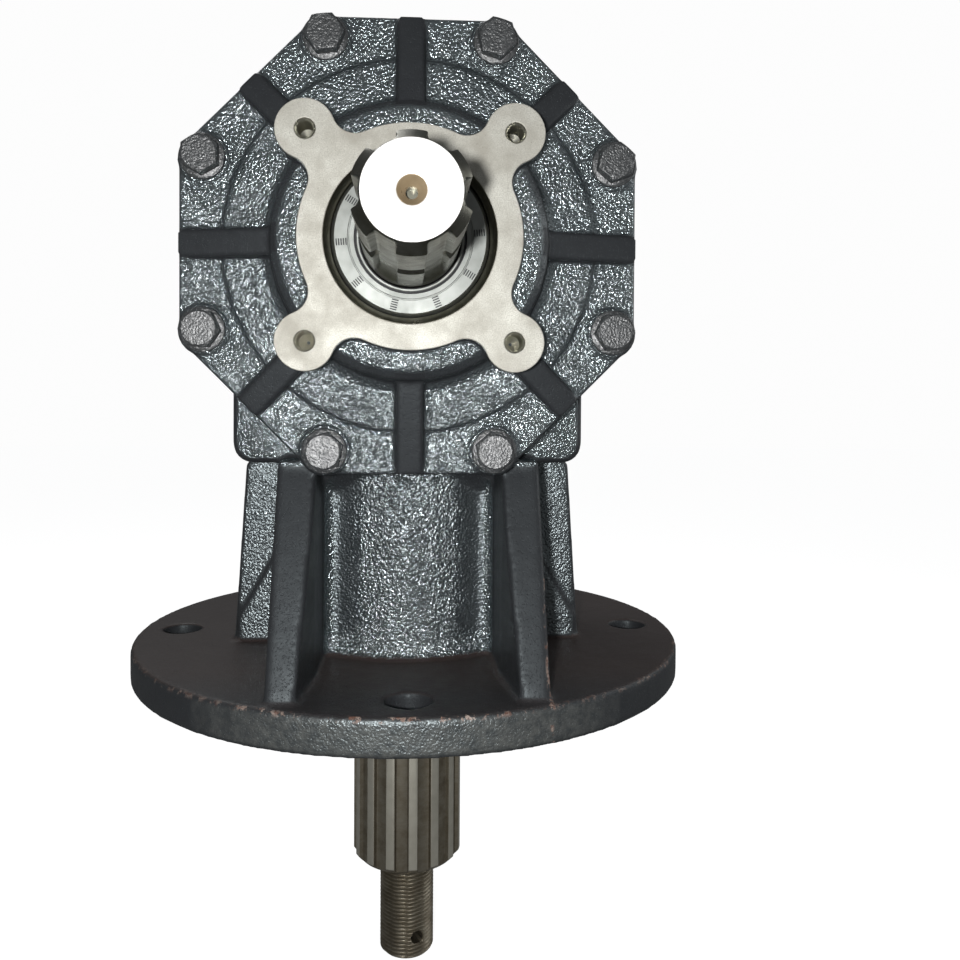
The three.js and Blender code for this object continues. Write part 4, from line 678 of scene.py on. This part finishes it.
def ear_hole_profile():
    """A threaded blind hole, as (radius, height) pairs from its mouth down and back up its outside."""
    outside = EAR_HOLE_RADIUS + 1.1
    pitch = 1.25
    profile = [(outside, PAD_FACE - 0.5), (EAR_HOLE_RADIUS + 0.3, PAD_FACE - 0.12)]
    depth = PAD_FACE - 0.7
    profile.append((EAR_HOLE_RADIUS, depth))
    while depth > PAD_FACE - 13:
        profile.append((EAR_HOLE_RADIUS - 0.35, depth - 0.35))
        profile.append((EAR_HOLE_RADIUS + 0.1, depth - 0.95))
        depth -= pitch
    return profile + [(0.2, depth - 1.5), (0.2, depth - 2.5), (outside, depth - 2.5)]


def make_machined_face():
    mouth = SEAL_BORE_RADIUS + 2.4
    outlines = [pad_outline(), circle(0, 0, mouth, 128)]
    outlines += [circle(x, y, EAR_HOLE_RADIUS + 0.3, 32) for x, y in EARS]
    plate = flat_plate("machined_face", outlines, PAD_FACE - PAD_THICKNESS, PAD_FACE, 0.3, on_input_line)
    dress(plate, MACHINED, "gearbox_body", "cast_iron_paint")
    profile = [
        (mouth + 0.2, PAD_FACE - 0.35),
        (mouth - 0.15, PAD_FACE - 0.2),
        (SEAL_BORE_RADIUS + 0.15, PAD_FACE - 2.3),
        (SEAL_BORE_RADIUS, PAD_FACE - 2.6),
        (SEAL_BORE_RADIUS, PAD_FACE - 11.4),
        (mouth + 0.2, PAD_FACE - 11.4),
    ]
    bore = turned("seal_bore", profile, place=on_input_line)
    # The bore's dark tone is partly oil and partly painted shade.
    dress(bore, BORE_IRON_OIL_AND_SHADE, "gearbox_body", "cast_iron_paint")
    for i, (x, y) in enumerate(EARS):

        def in_ear(p, x=x, y=y):
            return on_input_line((p[0] + x, p[1] + y, p[2]))

        hole = turned(f"ear_hole_{i + 1}", ear_hole_profile(), 32, in_ear)
        dress(hole, HOLE_IRON, "gearbox_body", "cast_iron_paint")


# ---------------------------------------------------------------- shafts


def spline_outline(teeth, first, flank, tip_angles, outer, gap_points):
    """Angles and radii round a spline. A tooth is a flank, from the root up, a tip and the flank mirrored."""
    foot, root = flank[0]
    gap = TURN / teeth - 2 * foot
    outline = []
    for i in range(teeth):
        middle = first + i * TURN / teeth
        outline += [(middle - angle, radius) for angle, radius in flank]
        outline += [(middle + angle, outer) for angle in tip_angles]
        outline += [(middle + angle, radius) for angle, radius in reversed(flank)]
        outline += [(middle + foot + gap * (j + 1) / (gap_points + 1), root) for j in range(gap_points)]
    return outline


def splined_rings(outline, stations, core_at, limit_at):
    """Rings of a spline, its radii held between the core's and the limit's at each station."""
    rings = []
    for height in stations:
        core, limit = core_at(height), limit_at(height)
        held = [(angle, min(max(radius, core), limit)) for angle, radius in outline]
        rings.append([(r * math.cos(angle), r * math.sin(angle), height) for angle, r in held])
    return rings


def stepped(table):
    """A function that reads a list of (height, value) pairs, straight between them."""

    def value_at(height):
        for (h0, v0), (h1, v1) in zip(table, table[1:]):
            if h0 <= height <= h1:
                if h1 == h0:
                    return v1
                return v0 + (v1 - v0) * (height - h0) / (h1 - h0)
        return table[0][1] if height < table[0][0] else table[-1][1]

    return value_at


def round_rings(outline, steps):
    """Rings of plain circles at (radius, height) steps, with a ring's corners at the outline's angles."""
    return [[(r * math.cos(a), r * math.sin(a), h) for a, _ in outline] for r, h in steps]


def make_input_shaft():
    """Six straight teeth with a ring groove near the end, and plain journals behind them."""
    outer, root, half_width = 17.4, 14.6, 4.325
    seat = 17.5
    top = math.asin(half_width / outer)
    foot = math.asin(half_width / root)
    flank = [
        (foot + 0.07, root),
        (foot + 0.03, root + 0.08),
        (foot, root + 0.35),
        (top + 0.006, outer - 0.28),
        (top - 0.012, outer),
    ]
    tip_angles = [step * top / 4 for step in range(-3, 4)]
    outline = spline_outline(6, TURN / 4, flank, tip_angles, outer, 4)
    end = INPUT_END
    start, runout = 118.0, 5.0
    chamfer, chamfer_radius = 4.2, 14.1
    groove, groove_round, groove_bottom = end - 38.0, 6.8, 14.7
    groove_half = math.sqrt(groove_round**2 - (groove_bottom + groove_round - outer) ** 2)
    core = stepped([(start - 1.5, seat), (start + 1.5, seat - 1.3), (start + runout, root), (end, root)])

    def limit(height):
        value = seat if height < start else outer
        if abs(height - groove) < groove_half:
            value = groove_bottom + groove_round - math.sqrt(groove_round**2 - (height - groove) ** 2)
        if height > end - chamfer:
            value = min(value, outer - (height - end + chamfer) * (outer - chamfer_radius) / chamfer)
        return value

    stations = [start - 1.5, start - 0.1, start + 0.1, start + 1.5, start + runout]
    stations += [groove - groove_half + 2 * groove_half * i / 16 for i in range(17)]
    stations += [end - chamfer, end - 3.1, end - 2.0, end - 1.0, end]
    crown_seat, collar, shoulder = 20, 26, 21.5
    journals = [
        (seat - 1, -68),
        (seat, -67),
        (seat, -50),
        (crown_seat - 1, -50),
        (crown_seat - 1, 16),
        (crown_seat, 17),
        (crown_seat, 66.3),
        (collar - 1, 66.3),
        (collar, 67.3),
        (collar, 76.4),
        (shoulder, 78.4),
        (shoulder, 82.4),
        (seat, 82.4),
        (seat, 110),
    ]
    drilling = [(13.7, end), (4.4, end), (4.1, end - 0.15), (1.75, end - 4.3), (1.7, end - 8)]
    rings = round_rings(outline, journals)
    rings += splined_rings(outline, stations, core, limit)
    rings += round_rings(outline, drilling)
    points, faces = skinned(rings)
    shaft = mesh_piece("input_shaft_turned", points, faces, on_input_line, 28)
    dress(shaft, INPUT_STEEL, "input_line", "shaft_steel", "input_shaft")


def make_output_shaft():
    """Fifteen narrow teeth under the flange, and plain journals above them."""
    outer, root, teeth = 25.35, 23.4, 15
    tip_half, foot_half = 1.85 / outer, 2.35 / root
    first = -TURN / 4 + math.radians(6)
    flank = [(foot_half + 0.02, root), (foot_half, root + 0.25), (tip_half + 0.012, outer - 0.25)]
    tip_angles = [step * tip_half for step in (-1, -0.5, 0, 0.5, 1)]
    outline = spline_outline(teeth, first, flank, tip_angles, outer, 1)
    seat = 25
    end, start, chamfer, runout = -93.0, -14.0, 2.6, 4
    clear = outer + 0.1
    core = stepped([(end, 5), (start - 2, 5), (start + runout, seat)])
    limit = stepped(
        [(end, root - 0.6), (end + chamfer, clear), (start - 2, clear), (start, seat), (start + runout, seat)]
    )
    stations = [end, end + 0.9, end + 1.8, end + chamfer, start - 2, start, start + 2, start + runout]
    pinion_seat, thread = 17.5, 14.7
    below = [(12.0, end + 2), (20.5, end)]
    above = [
        (seat, 35.3),
        (seat + 4, 35.3),
        (seat + 4, 82),
        (seat, 82),
        (seat, 103.85),
        (pinion_seat, 103.85),
        (pinion_seat, 136.8),
        (thread, 139.6),
        (thread, 151),
        (thread - 1.5, 152.5),
        (2, 152.5),
    ]
    rings = round_rings(outline, below)
    rings += splined_rings(outline, stations, core, limit)
    rings += round_rings(outline, above)
    points, faces = skinned(rings)
    shaft = mesh_piece("output_shaft_turned", points, faces, as_drawn, 28)
    vertex_value(shaft, "tip", lambda p, normal: ramp(math.hypot(p.x, p.y), outer - 0.2, outer - 0.05))
    dress(shaft, OUTPUT_STEEL, "output_line", "shaft_steel", "output_shaft")
    make_output_thread(end)


def threaded_rings(low, high, radius, depth, pitch, around, limit_at):
    """Rings of a right-hand helix whose crests reach radius."""
    per_turn = 10
    rings = []
    for i in range(int((high - low) / pitch * per_turn) + 1):
        height = low + i * pitch / per_turn
        ring = []
        for j in range(around):
            phase = (height / pitch - j / around) % 1.0
            flank = ramp(abs(2 * phase - 1), 0.1, 0.88)
            r = min(radius - depth * flank, limit_at(height))
            ring.append((r * math.cos(TURN * j / around), r * math.sin(TURN * j / around), height))
        rings.append(ring)
    return rings


def cotter_drill(height, facing):
    """A round bar across the thread, wider at both mouths, to cut the cotter hole with."""
    turn = math.radians(facing)
    direction = Vector((math.sin(turn), -math.cos(turn), 0))
    across = Vector((math.cos(turn), math.sin(turn), 0))
    bore, mouth = 3.0, 3.9
    half = [(11.9, bore), (12.9, mouth), (15, mouth)]
    facets = 32
    rings = []
    for distance, size in [(-far, size) for far, size in reversed(half)] + half:
        centre = direction * distance + Vector((0, 0, height))
        ring = []
        for j in range(facets):
            angle = TURN * j / facets
            rise = Vector((0, 0, size * math.sin(angle)))
            ring.append(tuple(centre + across * size * math.cos(angle) + rise))
        rings.append(ring)
    points, faces = skinned(rings)
    return mesh_piece("cotter_drill", points, faces)


def make_output_thread(top):
    """A real helix, with the cotter hole cut through it."""
    low, radius, depth, pitch, around = -139.5, 12.7, 1.12, 1.814, 60
    clear = radius + 0.1
    limit = stepped([(low, radius - 1.7), (low + 1.8, clear), (top - 3.4, clear), (top - 2.4, radius - 1.1)])
    rings = threaded_rings(low, top - 2.6, radius, depth, pitch, around, limit)
    neck = [(radius - 1.15, top - 2.0), (radius - 1.0, top - 1.0)]
    neck += [(radius + 0.2, top + 0.6), (4.0, top + 2.2)]
    rings += [ring_points(r, height, around) for r, height in neck]
    points, faces = skinned(rings)
    thread = mesh_piece("output_thread", points, faces, as_drawn, 60)
    drill = cotter_drill(-129.7, 24)
    cut = thread.modifiers.new("Cotter", "BOOLEAN")
    cut.operation = "DIFFERENCE"
    cut.solver = "EXACT"
    cut.object = drill
    apply_modifiers(thread)
    bpy.data.objects.remove(drill)
    finish_mesh(thread.data, 50)
    dress(thread, OUTPUT_STEEL, "output_line", "shaft_steel")


# ---------------------------------------------------------------- seals, fasteners and plugs


SEAL_RADIUS = 28.0
SEAL_FACE = 113.2
SEAL_BACK = 104.2


def make_seal_marks():
    """Ten groups of five short raised bars round the seal's face."""
    groups, first = 10, math.radians(148.5)
    bars, pitch, inner, thickness, half_width = 5, 0.85, 22.5, 0.43, 1.2
    points = []
    faces = []
    for group in range(groups):
        middle = first + group * TURN / groups
        radial = Vector((math.cos(middle), math.sin(middle), 0))
        side = Vector((-math.sin(middle), math.cos(middle), 0)) * half_width
        for bar in range(bars):
            base = len(points)
            radius = inner + bar * pitch
            for r in (radius, radius + thickness):
                for sign in (-1, 1):
                    for out in (SEAL_FACE - 0.1, SEAL_FACE + 0.06):
                        points.append(tuple(radial * r + side * sign + Vector((0, 0, out))))
            for quad in ((0, 1, 3, 2), (4, 6, 7, 5), (0, 4, 5, 1), (2, 3, 7, 6), (0, 2, 6, 4), (1, 5, 7, 3)):
                faces.append(tuple(base + corner for corner in quad))
    marks = mesh_piece("input_seal_marks", points, faces, on_input_line)
    dress(marks, RUBBER, "gearbox_body", "seal_rubber")


def make_input_seal():
    scribed, inner = 22.0, 20.0
    shell = [
        (SEAL_RADIUS, SEAL_BACK),
        (SEAL_RADIUS, SEAL_FACE - 1.8),
        (SEAL_RADIUS - 0.2, SEAL_FACE - 1.3),
        (SEAL_RADIUS - 0.9, SEAL_FACE - 0.4),
        (SEAL_RADIUS - 1.2, SEAL_FACE - 0.05),
        (scribed + 0.3, SEAL_FACE),
        (scribed + 0.1, SEAL_FACE - 0.3),
        (scribed - 0.2, SEAL_FACE - 0.3),
        (scribed - 0.4, SEAL_FACE - 0.05),
        (inner, SEAL_FACE - 0.1),
        (inner - 0.1, SEAL_FACE - 1.0),
        (SEAL_RADIUS - 1.0, SEAL_FACE - 1.0),
        (SEAL_RADIUS - 1.0, SEAL_BACK),
    ]
    case = turned("input_seal_shell", shell, place=on_input_line)
    dress(case, SEAL_STEEL, "gearbox_body", "seal_steel", "input_seal_case")
    ring_outer, ring_inner = 19.1, 18.2
    band = [
        (ring_outer, SEAL_FACE - 0.8),
        (ring_outer, SEAL_FACE - 0.2),
        (ring_outer - 0.2, SEAL_FACE),
        (ring_inner + 0.2, SEAL_FACE),
        (ring_inner, SEAL_FACE - 0.2),
        (ring_inner, SEAL_FACE - 0.8),
    ]
    ring = turned("input_seal_ring", band, place=on_input_line)
    dress(ring, SEAL_STEEL, "gearbox_body", "seal_steel")
    rubber = [
        (17.8, 106.9),
        (22.6, 106.4),
        (22.6, SEAL_FACE - 1.3),
        (19.7, SEAL_FACE - 1.3),
        (19.7, SEAL_FACE - 0.5),
        (19.2, SEAL_FACE - 0.3),
        (18.0, SEAL_FACE - 0.5),
        (17.75, SEAL_FACE - 1.0),
        (18.4, 109.4),
    ]
    lip = turned("input_seal_rubber", rubber, place=on_input_line)
    dress(lip, RUBBER, "gearbox_body", "seal_rubber", "input_seal_lip")
    make_seal_marks()


def make_output_seal():
    outer, face = 45.0, 1.2
    shell = [
        (outer, 10.4),
        (outer, face + 0.8),
        (outer - 0.4, face + 0.2),
        (outer - 1.0, face),
        (34.2, face),
        (33.8, face + 0.4),
        (28.4, face + 0.4),
        (28.0, face + 1.0),
        (outer - 1.0, face + 1.1),
        (outer - 1.0, 10.4),
    ]
    case = turned("output_seal_shell", shell)
    dress(case, SEAL_STEEL, "gearbox_body", "seal_steel", "output_seal_case")
    rubber = [
        (25.3, 7.5),
        (30.6, 8.2),
        (30.6, 2.6),
        (27.7, 2.6),
        (27.7, 1.6),
        (26.6, 1.4),
        (25.3, 1.7),
        (26.1, 5.0),
    ]
    lip = turned("output_seal_rubber", rubber)
    dress(lip, RUBBER, "gearbox_body", "seal_rubber", "output_seal_lip")


def make_fasteners():
    washer_radius, washer_hole, edge = 8.5, 4.3, 0.35
    for i in range(1, 9):
        bolt = rounded_copy(f"cover_bolt_{i}", f"bolt_{i}", 0.28, 14)
        dress(bolt, FASTENER, "gearbox_body", "fastener_paint", f"cover_bolt_{i}")
        low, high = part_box(f"cover_washer_{i}")
        x = (low[0] + high[0]) / 2 / MM
        up = (low[2] + high[2]) / 2 / MM - INPUT_HEIGHT
        back, face = -high[1] / MM, -low[1] / MM
        profile = [
            (washer_hole, back),
            (washer_radius - edge, back),
            (washer_radius, back + edge),
            (washer_radius, face - edge),
            (washer_radius - edge, face),
            (washer_hole, face),
        ]

        def on_bolt(p, x=x, up=up):
            return on_input_line((p[0] + x, p[1] + up, p[2]))

        washer = turned(f"washer_{i}", profile, 64, on_bolt, 50)
        dress(washer, FASTENER, "gearbox_body", "fastener_paint", f"cover_washer_{i}")


def make_trim():
    for node, material, slot in (
        ("breather_plug", FASTENER, "fastener_paint"),
        ("level_plug", FASTENER, "fastener_paint"),
        ("rear_cap", SPRING_STEEL, "spring_steel"),
    ):
        dress(rounded_copy(node, node + "_rounded"), material, "gearbox_body", slot, node)


make_housing()
make_cover()
make_machined_face()
make_input_shaft()
make_output_shaft()
make_input_seal()
make_output_seal()
make_fasteners()
make_trim()

# ---------------------------------------------------------------- floor, light and camera


def make_floor():
    """A pale floor that glows evenly and throws no light of its own on the gearbox."""
    size = 4000
    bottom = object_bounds()[0][2] / MM
    points = [(-size, -size, bottom), (size, -size, bottom), (size, size, bottom), (-size, size, bottom)]
    floor = mesh_piece("floor", points, [(0, 1, 2, 3)])
    n = Nodes("floor")
    tone = n.colour(n.noise(400.0, 2.0), (0.3, 0.3, 0.3), (0.2955, 0.2955, 0.2955))
    n.set(Base_Color=tone, Roughness=0.9, Emission_Color=(1.0, 1.0, 1.0), Emission_Strength=0.93)
    floor.data.materials.append(n.material)
    floor.visible_diffuse = False
    floor.visible_glossy = False


def make_world():
    """White to the camera, and a softer grey as the light that falls on the gearbox."""
    world = bpy.data.worlds.new("studio")
    bpy.context.scene.world = world
    world.use_nodes = True
    nodes, links = world.node_tree.nodes, world.node_tree.links
    nodes.clear()
    path = nodes.new("ShaderNodeLightPath")
    seen = nodes.new("ShaderNodeBackground")
    seen.inputs["Color"].default_value = (1, 1, 1, 1)
    seen.inputs["Strength"].default_value = 0.98
    light = nodes.new("ShaderNodeBackground")
    light.inputs["Color"].default_value = (0.96, 0.98, 1.0, 1)
    light.inputs["Strength"].default_value = 0.14
    mix = nodes.new("ShaderNodeMixShader")
    output = nodes.new("ShaderNodeOutputWorld")
    links.new(path.outputs["Is Camera Ray"], mix.inputs[0])
    links.new(light.outputs[0], mix.inputs[1])
    links.new(seen.outputs[0], mix.inputs[2])
    links.new(mix.outputs[0], output.inputs["Surface"])


def make_light(name, place, aim, size, power):
    light = bpy.data.lights.new(name, "AREA")
    light.shape = "DISK"
    light.size = size
    light.energy = power
    obj = link(bpy.data.objects.new(name, light))
    obj.location = place
    obj.rotation_euler = (Vector(aim) - Vector(place)).to_track_quat("-Z", "Y").to_euler()


def make_camera():
    place = Vector((-0.0013, -0.4374, 0.1264))
    yaw, pitch, roll = math.radians(3.54), math.radians(0.91), math.radians(0.30)
    forward = Vector((math.sin(yaw) * math.cos(pitch), math.cos(yaw) * math.cos(pitch), -math.sin(pitch)))
    right = Vector((math.cos(yaw), -math.sin(yaw), 0))
    up = right.cross(forward)
    rolled_right = math.cos(roll) * right + math.sin(roll) * up
    rolled_up = -math.sin(roll) * right + math.cos(roll) * up
    camera = bpy.data.cameras.new("camera")
    camera.sensor_width = 36.0
    camera.lens = 34.33
    camera.shift_x = 0.0179
    camera.shift_y = -0.0761
    camera.clip_start = 0.01
    obj = link(bpy.data.objects.new("camera", camera))
    turn = Matrix((rolled_right, rolled_up, -forward)).transposed().to_4x4()
    obj.matrix_world = Matrix.Translation(place) @ turn
    bpy.context.scene.camera = obj


make_floor()
make_world()
make_light("key", (-0.033, -0.47, 0.127), (0, 0, 0.127), 0.018, 1.4)
make_light("side", (0.8, 0.1, 0.35), (0, 0, 0.12), 0.6, 1.2)
make_light("back", (-0.3, 0.6, 1.1), (0, 0, 0.12), 0.6, 3.2)
make_camera()
bpy.context.scene.view_settings.view_transform = "Standard"
